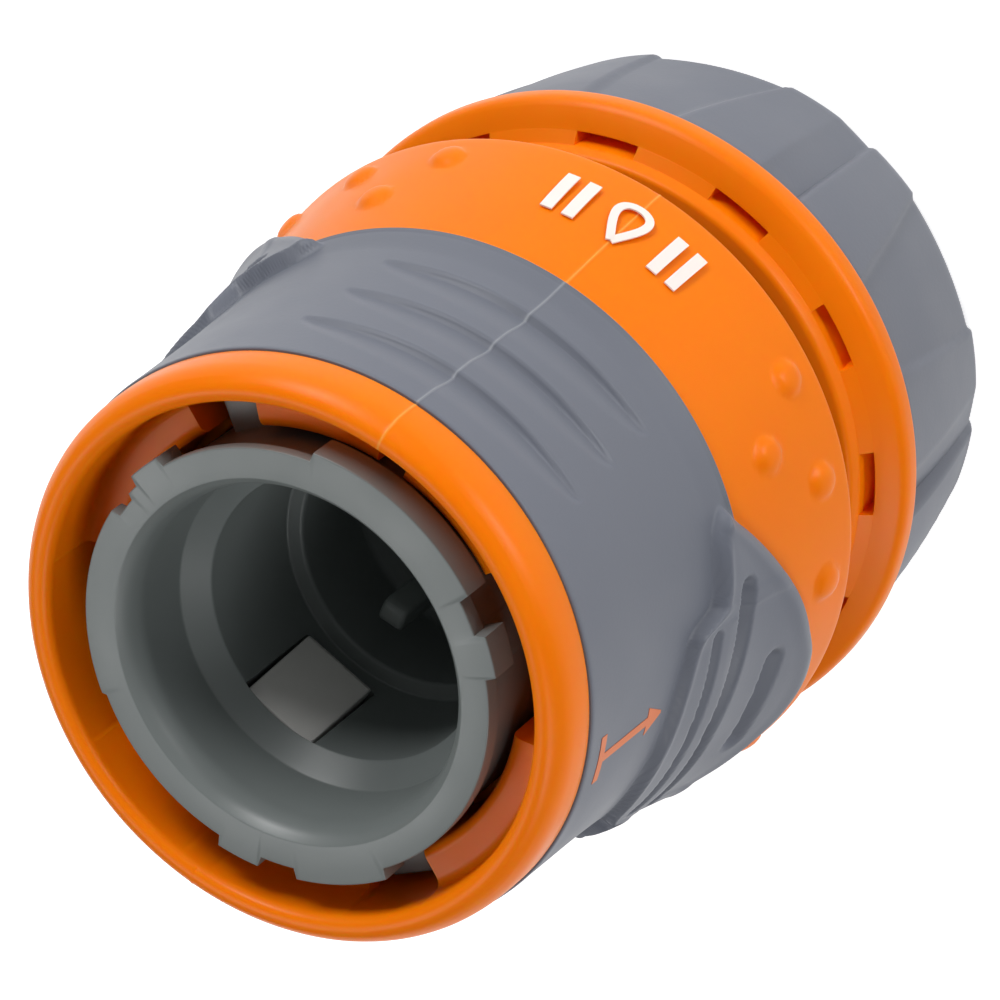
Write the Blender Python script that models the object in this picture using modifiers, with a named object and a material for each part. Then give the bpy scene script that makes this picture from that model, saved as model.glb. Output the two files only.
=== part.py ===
"""Garden hose quick connector with a water stop, for a 3/4 inch hose.

Sizes are in millimetres and are turned to metres where a mesh is made. The axis is vertical: the socket's
mouth points up and the clamp nut's rear face stands on z = 0. The mould's parting line runs along -Y and +Y,
with the two claws a little beside it, and the thumb pads of the grip are on -X and +X.
"""
import math

import bmesh
import bpy
from mathutils import Matrix, Vector

MM = 0.001

# Facets round the axis
ROUND_STEPS = 30
INNER_STEPS = 22

# Clearances
RUN = 0.3           # between pieces that slide or turn on each other
SEAT = 0.25         # between pieces that sit still on each other

# Socket for the click-on fitting
SOCKET_H = 27.0     # cup's rim to the mouth
SOCKET_R = 9.1      # takes the locking ridge of the fitting
SOCKET_WALL = 3.5
COLLAR_STEP = 0.6   # collar over the rest of the body
COLLAR_H = 8.7
LIP_STEP = 0.7      # lips of the rim over the collar
LIP_T = 2.2
LEDGE_STEP = 1.4    # mouth's throat over the bore
MOUTH_STEP = 0.9
LEDGE_TOP = 5.5     # depths below the rim
LEDGE_BOTTOM = 6.9
NOSE_DEPTH = 15.6
NOSE_STEP = 1.0     # bore for the fitting's nose, inside the socket's bore
SEAT_DEPTH = 25.1
SEAT_STEP = 1.8     # valve seat inside the nose bore
CHAMBER_WALL = 3.2
RIB_DEG = 44.0      # guide ribs, counted from the parting line
RIB_W = 3.0
RIM_NOTCHES = ((14.0, 24.5), (49.0, 59.5), (135.3, 182.0), (194.9, 204.0), (231.0, 302.8), (313.5, 323.7))

# Claws
CLAW_DEG = -9.0     # claws, counted from the parting line
CLAW_W = 5.0
CLAW_TOP = 7.2      # depths below the rim
CLAW_BOTTOM = 13.7
CLAW_BITE = 1.0     # how far a claw stands into the socket
CLAW_TRAVEL = 1.3
CLAW_FOOT_TOP = 9.7
CLAW_FOOT_H = 1.0
CLAW_KEY_W = 1.1
CLAW_KEY_REACH = 0.7

# Sleeve
SLEEVE_TRAVEL = 4.2
SLEEVE_RISE = 0.3   # crest of the sleeve above the rim
MOUTH_GAP = 2.1     # between the lips and the sleeve
RING_WALL = 2.05
RING_H = 3.3        # orange ring in front of the grip
GRIP_LEN = 16.6
GRIP_T = 1.3
GRIP_STEP = 0.15    # grip over the ring
GRIP_FLARE = 1.0
BAND_LEN = 10.8
BAND_ROOM = 2.7     # round the cup, so that water drains
SLEEVE_WALL = 1.4
CAM_RING_H = 3.1
CAM_RING_UP = 1.0   # above the grip's rear edge
CAM_DEG = ((-35.0, 35.0), (56.0, 103.0), (145.0, 215.0), (236.0, 283.0))
DOT_R = 1.35
DOT_H = 0.5
DOTS = ((18.0, 8.2), (36.0, 8.2), (54.0, 8.2), (45.0, 4.3))     # degrees off a pad, distance behind the grip

# Grip's relief; heights are counted from the grip's rear edge
SWOOSH_DEPTH = 0.42
SWOOSH_DEG = 32.0
SWOOSH_HEIGHTS = (12.3, 8.1, 4.1)
PAD_H = 1.0         # how far a thumb pad stands out
PAD_DEG = 43.0
PAD_FRONT = ((0.0, 7.3), (12.0, 7.0), (19.0, 6.4), (22.5, 6.0), (26.5, 3.6), (33.0, 3.0), (38.0, 2.4), (43.0, 0.9))
PAD_REAR = ((0.0, -7.75), (6.4, -7.25), (12.5, -6.3), (18.6, -5.2), (24.9, -3.7), (29.9, -2.45), (35.2, -1.0), (38.3, -0.1), (38.7, SEAT))
PAD_STEP = 0.8      # length of the step in front of a pad
PAD_START = ((21.0, 0.5), (27.0, 0.95))     # share of its height that a pad has at its front edge
PAD_GROW = 0.3      # share of its length over which it reaches the rest
GROOVE_DEPTH = 0.7
GROOVES = ((4.15, -0.028, 0.36, 17.0, 23.0), (1.55, -0.04, 0.9, 24.0, 30.0), (-2.9, -0.01, 1.0, 8.0, 12.5))

# Springs
SPRING_STEP = 0.8   # flange of the body that centres the sleeve's spring
SPRING_ROOM = 0.7
SLEEVE_WIRE = 1.1
SLEEVE_COILS = 3.0
VALVE_WIRE = 0.8
VALVE_COILS = 3.0

# Water stop
VALVE_TRAVEL = 4.0
PISTON_GAP = 1.5    # water way round the piston
PISTON_T = 2.2
PISTON_FIN_W = 1.6
BOSS_GAP = 0.4      # between the boss and the valve seat
PRONG_T = 1.7
PRONG_TOP = 15.0    # depth below the rim
SEAL_CORD = 1.4

# Cup of the spigot, which holds the socket body
CUP_H = 8.6
CUP_WALL = 4.45
CUP_FLOOR_T = 1.3

# Hose, barb and skirt
BARB_R = 9.6
BARB_TOOTH = 0.6
BARB_WALL = 1.8
BARB_TEETH = 3
BARB_PITCH = 3.2
BARB_TIP_Z = 1.2
HOSE_WALL = 3.9
SKIRT_WALL = 1.4

# Collet
COLLET_H = 7.0
COLLET_SLOTS = 4    # each runs through both sides
COLLET_SLOT_W = 1.2
COLLET_BITE = 0.3
CONE_START = 1.4    # collet's wall at the rear
CONE_RISE = 1.3     # how much the nut's cone opens over the collet

# Coarse thread between the spigot and the nut
THREAD_PITCH = 3.2
THREAD_DEPTH = 1.4
THREAD_CREST_W = 0.7
THREAD_ROOT_W = 1.7
THREAD_STEPS = 15

# Clamp nut
NUT_H = 15.2        # rear face to the underside of the flange
NUT_WALL = 1.85
NUT_GRIP_T = 2.1
NUT_TAPER = 2.05
NUT_PADS = 6
NUT_PHASE_DEG = -10.0
NUT_CREASE_DEG = (14.5, 8.5)    # at the rear and at the flange
NUT_GROOVE_DEG = 26.0
NUT_GROOVE_DEPTH = 0.55
REAR_LIP_H = 1.6    # floor of the nut behind the collet
FLANGE_LIP = 0.35   # flange over the soft layer
FLANGE_T = 2.2
NECK_WALL = 1.7     # tube in front of the flange
NECK_H = 3.9
SLOT_COUNT = 12
SLOT_DEG = 12.0
SLOT_W = 0.75
SLOT_DEPTH = 1.8

# Radii that follow from these sizes
BODY_R = SOCKET_R + SOCKET_WALL
COLLAR_R = BODY_R + COLLAR_STEP
LIP_R = COLLAR_R + LIP_STEP
LEDGE_R = SOCKET_R + LEDGE_STEP
MOUTH_R = LEDGE_R + MOUTH_STEP
NOSE_R = SOCKET_R - NOSE_STEP
SEAT_R = NOSE_R - SEAT_STEP
CHAMBER_R = BODY_R - CHAMBER_WALL
MOUTH_RING_R = LIP_R + MOUTH_GAP
RING_R = MOUTH_RING_R + RING_WALL
RIB_R = MOUTH_RING_R - RUN - 0.2
GRIP_FRONT_R = RING_R + GRIP_STEP
GRIP_REAR_R = GRIP_FRONT_R + GRIP_FLARE
CAM_R = BODY_R + RUN
CAM_FRONT_R = COLLAR_R + RUN
SPRING_FLANGE_R = BODY_R + SPRING_STEP
SLEEVE_SPRING_R = SPRING_FLANGE_R + SPRING_ROOM + SLEEVE_WIRE / 2
CUP_BORE_R = BODY_R + RUN
CUP_R = CUP_BORE_R + CUP_WALL
BAND_REAR_R = CUP_R + BAND_ROOM + SLEEVE_WALL
PISTON_R = CHAMBER_R - PISTON_GAP
BOSS_R = SEAT_R - BOSS_GAP
PRONG_R = BOSS_R - PRONG_T
VALVE_SPRING_R = PISTON_R - 0.6
THROAT_R = VALVE_SPRING_R - 0.1
BARB_ROOT_R = BARB_R - BARB_TOOTH
BARB_BORE_R = BARB_ROOT_R - BARB_WALL
HOSE_R = BARB_R + HOSE_WALL
SKIRT_BORE_R = HOSE_R + 0.2
THREAD_MINOR_R = SKIRT_BORE_R + SKIRT_WALL
THREAD_MAJOR_R = THREAD_MINOR_R + THREAD_DEPTH
NUT_ROOT_R = THREAD_MAJOR_R + RUN + 0.1
NUT_CORE_R = NUT_ROOT_R + NUT_WALL
NUT_SOFT_R = NUT_CORE_R + SEAT
NUT_FRONT_R = NUT_SOFT_R + NUT_GRIP_T
NUT_REAR_R = NUT_FRONT_R - NUT_TAPER
FLANGE_R = NUT_FRONT_R + FLANGE_LIP
NECK_R = NUT_ROOT_R + NECK_WALL

# Heights that follow from these sizes
NECK_TOP_Z = NUT_H + NECK_H
SHOULDER_Z = NECK_TOP_Z + RUN
CUP_TOP_Z = SHOULDER_Z + CUP_H
RIM_Z = CUP_TOP_Z + SOCKET_H
CUP_FLOOR_Z = SHOULDER_Z + CUP_FLOOR_T
BODY_END_Z = CUP_FLOOR_Z + RUN
BODY_SEAL_Z = BODY_END_Z + 2.2 + SEAL_CORD / 2
WEB_Z = SHOULDER_Z - 1.1
SPRING_SEAT_Z = WEB_Z + 0.3
SEAT_Z = RIM_Z - SEAT_DEPTH
HEAD_TOP_Z = SEAT_Z - 2 * SEAT - SEAL_CORD
HEAD_BOTTOM_Z = HEAD_TOP_Z - PISTON_T
COLLET_BOTTOM_Z = REAR_LIP_H + SEAT
COLLET_TOP_Z = COLLET_BOTTOM_Z + COLLET_H
SKIRT_END_Z = COLLET_TOP_Z + SEAT
RING_BACK_Z = RIM_Z - RING_H + SLEEVE_RISE
GRIP_BACK_Z = RING_BACK_Z - GRIP_LEN
SLEEVE_END_Z = GRIP_BACK_Z - BAND_LEN
SLEEVE_TOP_Z = RIM_Z + SLEEVE_RISE
CAM_TOP_Z = RIM_Z - LIP_T - RUN
CAM_RING_Z = GRIP_BACK_Z + CAM_RING_UP
CAM_FLOOR_Z = CAM_RING_Z + CAM_RING_H
COLLAR_END_Z = RIM_Z - COLLAR_H

PARTING_DEG = -90.0
PARTING_SIDES = (0.0, 180.0)    # from the parting line
CLAW_SIDES = (CLAW_DEG, CLAW_DEG + 180.0)
PAD_SIDES_DEG = (0.0, 180.0)    # from +X
BAND_SLOPE = math.atan2(BAND_REAR_R - GRIP_REAR_R, BAND_LEN)

PARTS = bpy.data.collections.new("hose_quick_connector")
CUTTERS = bpy.data.collections.new("cutters")


def clear_scene():
    """Remove every object and link the two collections that the model uses."""
    for old in list(bpy.data.objects):
        bpy.data.objects.remove(old, do_unlink=True)
    for collection in (PARTS, CUTTERS):
        bpy.context.scene.collection.children.link(collection)


def make_material(name, colour, roughness, metallic=0.0):
    """Principled material with the piece's colour."""
    material = bpy.data.materials.new(name)
    material.use_nodes = True
    shader = material.node_tree.nodes["Principled BSDF"]
    shader.inputs["Base Color"].default_value = (*colour, 1.0)
    shader.inputs["Roughness"].default_value = roughness
    shader.inputs["Metallic"].default_value = metallic
    return material


def add_object(name, mesh, material=None, smooth_deg=35.0):
    """Put a mesh in the parts, or among the cutters where it has no material."""
    item = bpy.data.objects.new(name, mesh)
    if material is None:
        CUTTERS.objects.link(item)
        item.hide_render = True
        item.display_type = "WIRE"
        return item
    PARTS.objects.link(item)
    mesh.materials.append(material)
    mesh.shade_smooth()
    mesh.set_sharp_from_angle(angle=math.radians(smooth_deg))
    return item


def mesh_from(name, bm):
    """Turn a bmesh in millimetres into a mesh in metres."""
    bmesh.ops.scale(bm, vec=(MM, MM, MM), verts=bm.verts)
    mesh = bpy.data.meshes.new(name)
    bm.to_mesh(mesh)
    bm.free()
    return mesh


def turned(name, profile, material=None, steps=ROUND_STEPS, closed=True):
    """Turn a profile of (radius, height) round Z; its outer side runs from top to bottom."""
    mesh = bpy.data.meshes.new(name)
    points = [(radius * MM, 0.0, height * MM) for radius, height in profile]
    edges = [(i, i + 1) for i in range(len(points) - 1)]
    if closed:
        edges.append((len(points) - 1, 0))
    mesh.from_pydata(points, edges, [])
    item = add_object(name, mesh, material)
    screw = item.modifiers.new("turn", "SCREW")
    screw.steps = steps
    screw.render_steps = steps
    screw.use_merge_vertices = True
    screw.merge_threshold = 0.00001
    screw.use_smooth_shade = True
    return item


def ring_sector(name, radii, heights, degrees, steps):
    """Block with curved walls, used as a cutter."""
    bm = bmesh.new()
    start = math.radians(degrees[0])
    corners = [(radii[0], heights[0]), (radii[1], heights[0]), (radii[1], heights[1]), (radii[0], heights[1])]
    loop = [bm.verts.new((r * math.cos(start), r * math.sin(start), z)) for r, z in corners]
    face = bm.faces.new(loop)
    bmesh.ops.spin(bm, geom=[face, *face.edges, *face.verts], angle=math.radians(degrees[1] - degrees[0]),
                   steps=steps, axis=(0.0, 0.0, 1.0), cent=(0.0, 0.0, 0.0))
    bmesh.ops.recalc_face_normals(bm, faces=bm.faces)
    return add_object(name, mesh_from(name, bm))


def block(name, size, centre, degrees=0.0):
    """Box turned about Z."""
    bm = bmesh.new()
    place = Matrix.Rotation(math.radians(degrees), 4, "Z") @ Matrix.Translation(centre) @ Matrix.Diagonal((*size, 1.0))
    bmesh.ops.create_cube(bm, size=1.0, matrix=place)
    return add_object(name, mesh_from(name, bm))


def radial_prism(name, outline, width, degrees, material=None, shift=0.0):
    """Extrude an outline of (distance from the axis, height) by a width, at an angle round the axis."""
    bm = bmesh.new()
    turn = Matrix.Rotation(math.radians(degrees), 3, "Z")
    loop = [bm.verts.new(turn @ Vector((out, shift - width / 2, height))) for out, height in outline]
    face = bm.faces.new(loop)
    swept = bmesh.ops.extrude_face_region(bm, geom=[face])["geom"]
    verts = [item for item in swept if isinstance(item, bmesh.types.BMVert)]
    bmesh.ops.translate(bm, verts=verts, vec=turn @ Vector((0.0, width, 0.0)))
    bmesh.ops.recalc_face_normals(bm, faces=bm.faces)
    return add_object(name, mesh_from(name, bm), material)


def combine(item, other, operation="DIFFERENCE"):
    """Boolean with the exact solver, left as a modifier."""
    modifier = item.modifiers.new(other.name, "BOOLEAN")
    modifier.operation = operation
    modifier.object = other
    modifier.solver = "EXACT"


def thread_ridge(name, base_r, tip_r, first_z, last_z, phase_deg):
    """One helical ridge of the coarse right-hand thread, from a swept trapezoid."""
    turns = (last_z - first_z) / THREAD_PITCH
    steps = round(turns * THREAD_STEPS)
    half_root = THREAD_ROOT_W / 2
    half_crest = THREAD_CREST_W / 2
    section = ((base_r, -half_root), (tip_r, -half_crest), (tip_r, half_crest), (base_r, half_root))
    start = math.radians(phase_deg)
    bm = bmesh.new()
    loop = [bm.verts.new((r * math.cos(start), r * math.sin(start), first_z + z)) for r, z in section]
    face = bm.faces.new(loop)
    bmesh.ops.spin(bm, geom=[face, *face.edges, *face.verts], angle=turns * math.tau, steps=steps,
                   axis=(0.0, 0.0, 1.0), cent=(0.0, 0.0, 0.0), dvec=(0.0, 0.0, (last_z - first_z) / steps))
    bmesh.ops.recalc_face_normals(bm, faces=bm.faces)
    return add_object(name, mesh_from(name, bm))


def coil_spring(name, radius, wire, bottom_z, top_z, coils, material, points_per_turn=10):
    """Round-wire compression spring as a poly curve made into a closed mesh."""
    curve = bpy.data.curves.new(name, "CURVE")
    curve.dimensions = "3D"
    curve.bevel_depth = wire / 2 * MM
    curve.bevel_resolution = 2
    curve.use_fill_caps = True
    count = round(coils * points_per_turn) + 1
    spline = curve.splines.new("POLY")
    spline.points.add(count - 1)
    for i, point in enumerate(spline.points):
        share = i / (count - 1)
        angle = share * coils * math.tau
        height = bottom_z + wire / 2 + share * (top_z - bottom_z - wire)
        point.co = (radius * math.cos(angle) * MM, radius * math.sin(angle) * MM, height * MM, 1.0)
    carrier = bpy.data.objects.new(name + "_curve", curve)
    bpy.context.scene.collection.objects.link(carrier)
    mesh = bpy.data.meshes.new_from_object(carrier.evaluated_get(bpy.context.evaluated_depsgraph_get()))
    bpy.data.objects.remove(carrier, do_unlink=True)
    bm = bmesh.new()
    bm.from_mesh(mesh)
    bmesh.ops.remove_doubles(bm, verts=bm.verts, dist=0.000001)
    bmesh.ops.recalc_face_normals(bm, faces=bm.faces)
    bm.to_mesh(mesh)
    bm.free()
    return add_object(name, mesh, material, smooth_deg=60.0)


def o_ring(name, radius, height, material):
    """Rubber ring of round section."""
    sides = 6
    half = SEAL_CORD / 2
    turns = [-k * math.tau / sides for k in range(sides)]
    return turned(name, [(radius + half * math.cos(t), height + half * math.sin(t)) for t in turns], material, steps=18)


def lofted_ring(name, sections, material):
    """Close a ring through sections of (degrees, radius, height), whose outer sides run from top to bottom."""
    mesh = bpy.data.meshes.new(name)
    points = []
    for section in sections:
        for degrees, radius, height in section:
            angle = math.radians(degrees)
            points.append((radius * math.cos(angle) * MM, radius * math.sin(angle) * MM, height * MM))
    count = len(sections[0])
    faces = []
    for i in range(len(sections)):
        here = i * count
        there = (i + 1) % len(sections) * count
        for j in range(count):
            after = (j + 1) % count
            faces.append((here + j, here + after, there + after, there + j))
    mesh.from_pydata(points, [], faces)
    return add_object(name, mesh, material)


def ramp(table, position):
    """Straight-line reading of a table of (position, value)."""
    if position <= table[0][0]:
        return table[0][1]
    for (x0, y0), (x1, y1) in zip(table, table[1:]):
        if position <= x1:
            return y0 + (y1 - y0) * (position - x0) / (x1 - x0)
    return table[-1][1]


def fade(position, full, none):
    """Smooth step from 1 at full to 0 at none."""
    share = min(max((none - position) / (none - full), 0.0), 1.0)
    return share * share * (3.0 - 2.0 * share)


def sleeve_radius(height):
    """Outer radius of the plain grip and of the band behind it."""
    if height < GRIP_BACK_Z:
        return GRIP_REAR_R + math.tan(BAND_SLOPE) * (GRIP_BACK_Z - height)
    up = height - GRIP_BACK_Z
    table = ((0.0, GRIP_REAR_R), (GRIP_LEN * 0.33, GRIP_REAR_R - 0.55 * GRIP_FLARE),
             (GRIP_LEN * 0.65, GRIP_FRONT_R + GRIP_STEP), (GRIP_LEN, GRIP_FRONT_R))
    return ramp(table, up)


def nut_cone(height):
    """Radius of the nut's clamping cone, which opens towards the front."""
    return HOSE_R + CONE_START + CONE_RISE * (height - REAR_LIP_H) / (COLLET_TOP_Z - REAR_LIP_H)


def make_socket_body(material):
    """Grey socket with its notched rim, stepped bore, claw windows and guide ribs."""
    nose_z = RIM_Z - NOSE_DEPTH
    ring_half = SEAL_CORD / 2 + RUN
    profile = [
        (LIP_R - 0.3, RIM_Z), (LIP_R, RIM_Z - 0.3), (LIP_R, RIM_Z - LIP_T), (COLLAR_R, RIM_Z - LIP_T),
        (COLLAR_R, COLLAR_END_Z), (BODY_R, COLLAR_END_Z - 0.4),
        (BODY_R, CUP_TOP_Z + 2.0), (SPRING_FLANGE_R, CUP_TOP_Z + 1.6), (SPRING_FLANGE_R, CUP_TOP_Z + SEAT),
        (BODY_R, CUP_TOP_Z + SEAT),
        (BODY_R, BODY_SEAL_Z + ring_half), (BODY_R - SEAL_CORD, BODY_SEAL_Z + ring_half),
        (BODY_R - SEAL_CORD, BODY_SEAL_Z - ring_half), (BODY_R, BODY_SEAL_Z - ring_half),
        (BODY_R + 0.4, BODY_END_Z + 1.3), (BODY_R + 0.4, BODY_END_Z + 0.9), (BODY_R, BODY_END_Z),
        (CHAMBER_R, BODY_END_Z), (CHAMBER_R, SEAT_Z), (SEAT_R, SEAT_Z), (SEAT_R, SEAT_Z + 1.1),
        (NOSE_R, SEAT_Z + 1.1 + SEAT_STEP), (NOSE_R, nose_z),
        (SOCKET_R, nose_z + 0.1), (SOCKET_R, RIM_Z - LEDGE_BOTTOM), (LEDGE_R, RIM_Z - LEDGE_TOP),
        (MOUTH_R - MOUTH_STEP * 0.72, RIM_Z - 1.2), (MOUTH_R - MOUTH_STEP * 0.43, RIM_Z - 0.5), (MOUTH_R, RIM_Z),
    ]
    body = turned("socket_body", profile, material)
    for i, (start, end) in enumerate(RIM_NOTCHES):
        notch = ring_sector(f"rim_notch_{i}", (COLLAR_R, LIP_R + 1.0), (RIM_Z - LIP_T - 0.4, RIM_Z + 1.0),
                            (start + PARTING_DEG, end + PARTING_DEG), max(2, round((end - start) / 8.0)))
        combine(body, notch)
    window_h = CLAW_BOTTOM - CLAW_TOP + 2 * RUN
    combine(body, block("claw_windows", (CLAW_W + 2 * RUN, 2 * LIP_R + 4.0, window_h),
                        (0.0, 0.0, RIM_Z - (CLAW_TOP + CLAW_BOTTOM) / 2), CLAW_DEG))
    rib_top = CAM_TOP_Z - 2.2
    rib_bottom = CAM_FLOOR_Z + 0.8
    depth = RIB_R - BODY_R + 1.0
    for i, side in enumerate(PARTING_SIDES):
        rib = block(f"guide_rib_{i}", (depth, RIB_W, rib_top - rib_bottom),
                    (RIB_R - depth / 2, 0.0, (rib_top + rib_bottom) / 2), RIB_DEG + PARTING_DEG + side)
        combine(body, rib, "UNION")


def claw_foot_reach():
    """Distance from the axis to the face of a claw's cam foot."""
    return math.sqrt(BODY_R ** 2 - (CLAW_W / 2) ** 2)


def claw_key_shift():
    """Distance of a claw's key from the claw's middle."""
    return (CLAW_W - CLAW_KEY_W) / 2 - 0.05


def make_claws(material):
    """Two light grey claws, with the cam foot and the key that runs in the sleeve's keyway."""
    top = RIM_Z - CLAW_TOP
    bottom = RIM_Z - CLAW_BOTTOM
    foot_top = RIM_Z - CLAW_FOOT_TOP
    foot_bottom = foot_top - CLAW_FOOT_H
    foot_out = claw_foot_reach()
    back_out = foot_out - 0.85
    tip = SOCKET_R - CLAW_BITE
    outline = [
        (SOCKET_R + 0.15, top), (tip, bottom + 0.4), (tip + 0.2, bottom), (back_out - 0.1, bottom),
        (back_out - 0.1, foot_bottom), (foot_out, foot_bottom), (foot_out, foot_top), (back_out, foot_top + 0.3),
        (back_out, top),
    ]
    key_reach = CAM_FRONT_R + CLAW_KEY_REACH
    key_outline = [(foot_out - 1.5, foot_top - 2.2), (key_reach, foot_top - 2.2), (key_reach, foot_top - 0.2),
                   (foot_out - 1.5, foot_top - 0.2)]
    for name, side in zip(("claw_front", "claw_rear"), CLAW_SIDES):
        claw = radial_prism(name, outline, CLAW_W, PARTING_DEG + side, material)
        key = radial_prism(name + "_key", key_outline, CLAW_KEY_W, PARTING_DEG + side, shift=claw_key_shift())
        combine(claw, key, "UNION")


def make_sleeve(material):
    """Orange release sleeve: front ring, flared band and the cam ring inside."""
    inner_z = CAM_RING_Z - 1.6
    inner_r = GRIP_REAR_R - GRIP_T - SLEEVE_WALL
    recess = [(sleeve_radius(z) - GRIP_T, z) for z in
              (RING_BACK_Z - 0.05, RING_BACK_Z - GRIP_LEN * 0.35, GRIP_BACK_Z + GRIP_LEN * 0.33, GRIP_BACK_Z)]
    profile = [
        (MOUTH_RING_R + 0.9, SLEEVE_TOP_Z), (RING_R - 0.6, SLEEVE_TOP_Z - 0.2), (RING_R - 0.2, SLEEVE_TOP_Z - 0.9),
        (RING_R - 0.05, SLEEVE_TOP_Z - 2.1), (RING_R, RING_BACK_Z), *recess,
        (GRIP_REAR_R + 0.03, GRIP_BACK_Z), (BAND_REAR_R - 0.05, SLEEVE_END_Z + 0.5),
        (BAND_REAR_R, SLEEVE_END_Z + 0.3), (BAND_REAR_R - 0.3, SLEEVE_END_Z),
        (BAND_REAR_R - SLEEVE_WALL, SLEEVE_END_Z), (inner_r + 1.8, inner_z - 1.4), (inner_r, inner_z),
        (inner_r, CAM_RING_Z), (CAM_R, CAM_RING_Z), (CAM_R, COLLAR_END_Z - 0.7), (CAM_FRONT_R, COLLAR_END_Z - 0.1),
        (CAM_FRONT_R, CAM_TOP_Z - 0.3), (CAM_FRONT_R + 0.3, CAM_TOP_Z), (MOUTH_RING_R + 0.1, CAM_TOP_Z),
        (MOUTH_RING_R, SLEEVE_TOP_Z - 0.5), (MOUTH_RING_R + 0.25, SLEEVE_TOP_Z - 0.15),
    ]
    sleeve = turned("sleeve", profile, material)
    gap_ends = [start for start, _ in CAM_DEG[1:]] + [CAM_DEG[0][0] + 360.0]
    for i, ((_, end), start) in enumerate(zip(CAM_DEG, gap_ends)):
        gap = ring_sector(f"cam_gap_{i}", (CAM_R - 1.0, MOUTH_RING_R + 0.05), (CAM_FLOOR_Z, CAM_TOP_Z + 1.0),
                          (end + PARTING_DEG, start + PARTING_DEG), round((start - end) / 8.0))
        combine(sleeve, gap)
    near = CAM_R - 1.5
    wall = claw_foot_reach() + RUN
    foot_bottom = RIM_Z - CLAW_FOOT_TOP - CLAW_FOOT_H
    roof = RIM_Z - CLAW_FOOT_TOP + SLEEVE_TRAVEL + 0.4
    ramp_reach = wall + CLAW_TRAVEL / SLEEVE_TRAVEL * (roof - foot_bottom)
    pocket_outline = [(near, foot_bottom - 0.1), (wall, foot_bottom - 0.1), (ramp_reach, roof), (near, roof)]
    slot_w = CLAW_KEY_W + 2 * RUN
    slot_reach = math.sqrt((MOUTH_RING_R - 0.1) ** 2 - (claw_key_shift() + slot_w / 2) ** 2)
    slot_bottom = CAM_FLOOR_Z + RUN
    keyway_outline = [(near, slot_bottom), (slot_reach, slot_bottom), (slot_reach, CAM_TOP_Z + 0.5), (near, CAM_TOP_Z + 0.5)]
    for i, side in enumerate(CLAW_SIDES):
        combine(sleeve, radial_prism(f"cam_pocket_{i}", pocket_outline, CLAW_W + 4 * RUN, PARTING_DEG + side))
        combine(sleeve, radial_prism(f"keyway_{i}", keyway_outline, slot_w, PARTING_DEG + side, shift=claw_key_shift()))
    combine(sleeve, make_dots(), "UNION")


def make_dots():
    """Raised dots on the orange band, in a row on each side of the two thumb pads."""
    bm = bmesh.new()
    for side in PAD_SIDES_DEG:
        for offset, down in DOTS:
            for sign in (-1.0, 1.0):
                height = GRIP_BACK_Z - down
                place = (Matrix.Rotation(math.radians(side + sign * offset), 4, "Z")
                         @ Matrix.Translation((sleeve_radius(height), 0.0, height))
                         @ Matrix.Rotation(-BAND_SLOPE, 4, "Y")
                         @ Matrix.Diagonal((DOT_H, DOT_R, DOT_R, 1.0)))
                bmesh.ops.create_uvsphere(bm, u_segments=6, v_segments=4, radius=1.0, matrix=place)
    return add_object("band_dots", mesh_from("band_dots", bm))


def pad_rows(off_pad):
    """Rows of (height, rise) down a thumb pad: its front step, three grooves and its rear edge."""
    front = GRIP_BACK_Z + ramp(PAD_FRONT, off_pad)
    rear = GRIP_BACK_Z + ramp(PAD_REAR, off_pad)
    edge = fade(off_pad, PAD_DEG - 5.0, PAD_DEG)
    high = front - 0.1 * (front - rear)
    low = rear + 0.1 * (front - rear)
    wanted = []
    for middle, slope, half, full, none in GROOVES:
        centre = GRIP_BACK_Z + middle + slope * off_pad
        wanted += [(centre + half, 0.0), (centre, fade(off_pad, full, none) * min(half / 0.8, 1.0)), (centre - half, 0.0)]
    start = ramp(PAD_START, off_pad)
    rows = [(front + PAD_STEP * 0.6, 0.0), (front, PAD_H * edge * start)]
    share = (high - low) / (len(wanted) + 1)
    for k, (height, groove) in enumerate(wanted):
        above = high - 0.35 * share * (k + 1)
        below = low + 0.35 * share * (len(wanted) - k)
        height = min(max(height, below), above)
        along = (front - height) / (front - rear)
        rise = min(start + (1.0 - start) * along / PAD_GROW, 1.0) * (1.0 - 0.3 * along)
        rows.append((height, PAD_H * edge * rise - GROOVE_DEPTH * groove))
    foot = 2 * SEAT if rear < GRIP_BACK_Z else 0.0
    return rows + [(low, max(PAD_H * edge * 0.65, foot + 0.1)), (rear, foot)]


def swoosh_rows(off_parting):
    """Rows of (height, rise) down the side of the grip, where three crescents are pressed in."""
    depth = SWOOSH_DEPTH * fade(off_parting, SWOOSH_DEG * 0.45, SWOOSH_DEG)
    rows = []
    for up in SWOOSH_HEIGHTS:
        line = GRIP_BACK_Z + up
        rows += [(line + 2.0, 0.0), (line + 1.0, -0.4 * depth), (line + 0.3, -depth), (line - 0.1, 0.0)]
    return rows + [(GRIP_BACK_Z + SEAT + 0.7, 0.0), (GRIP_BACK_Z + SEAT, -0.1)]


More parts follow.
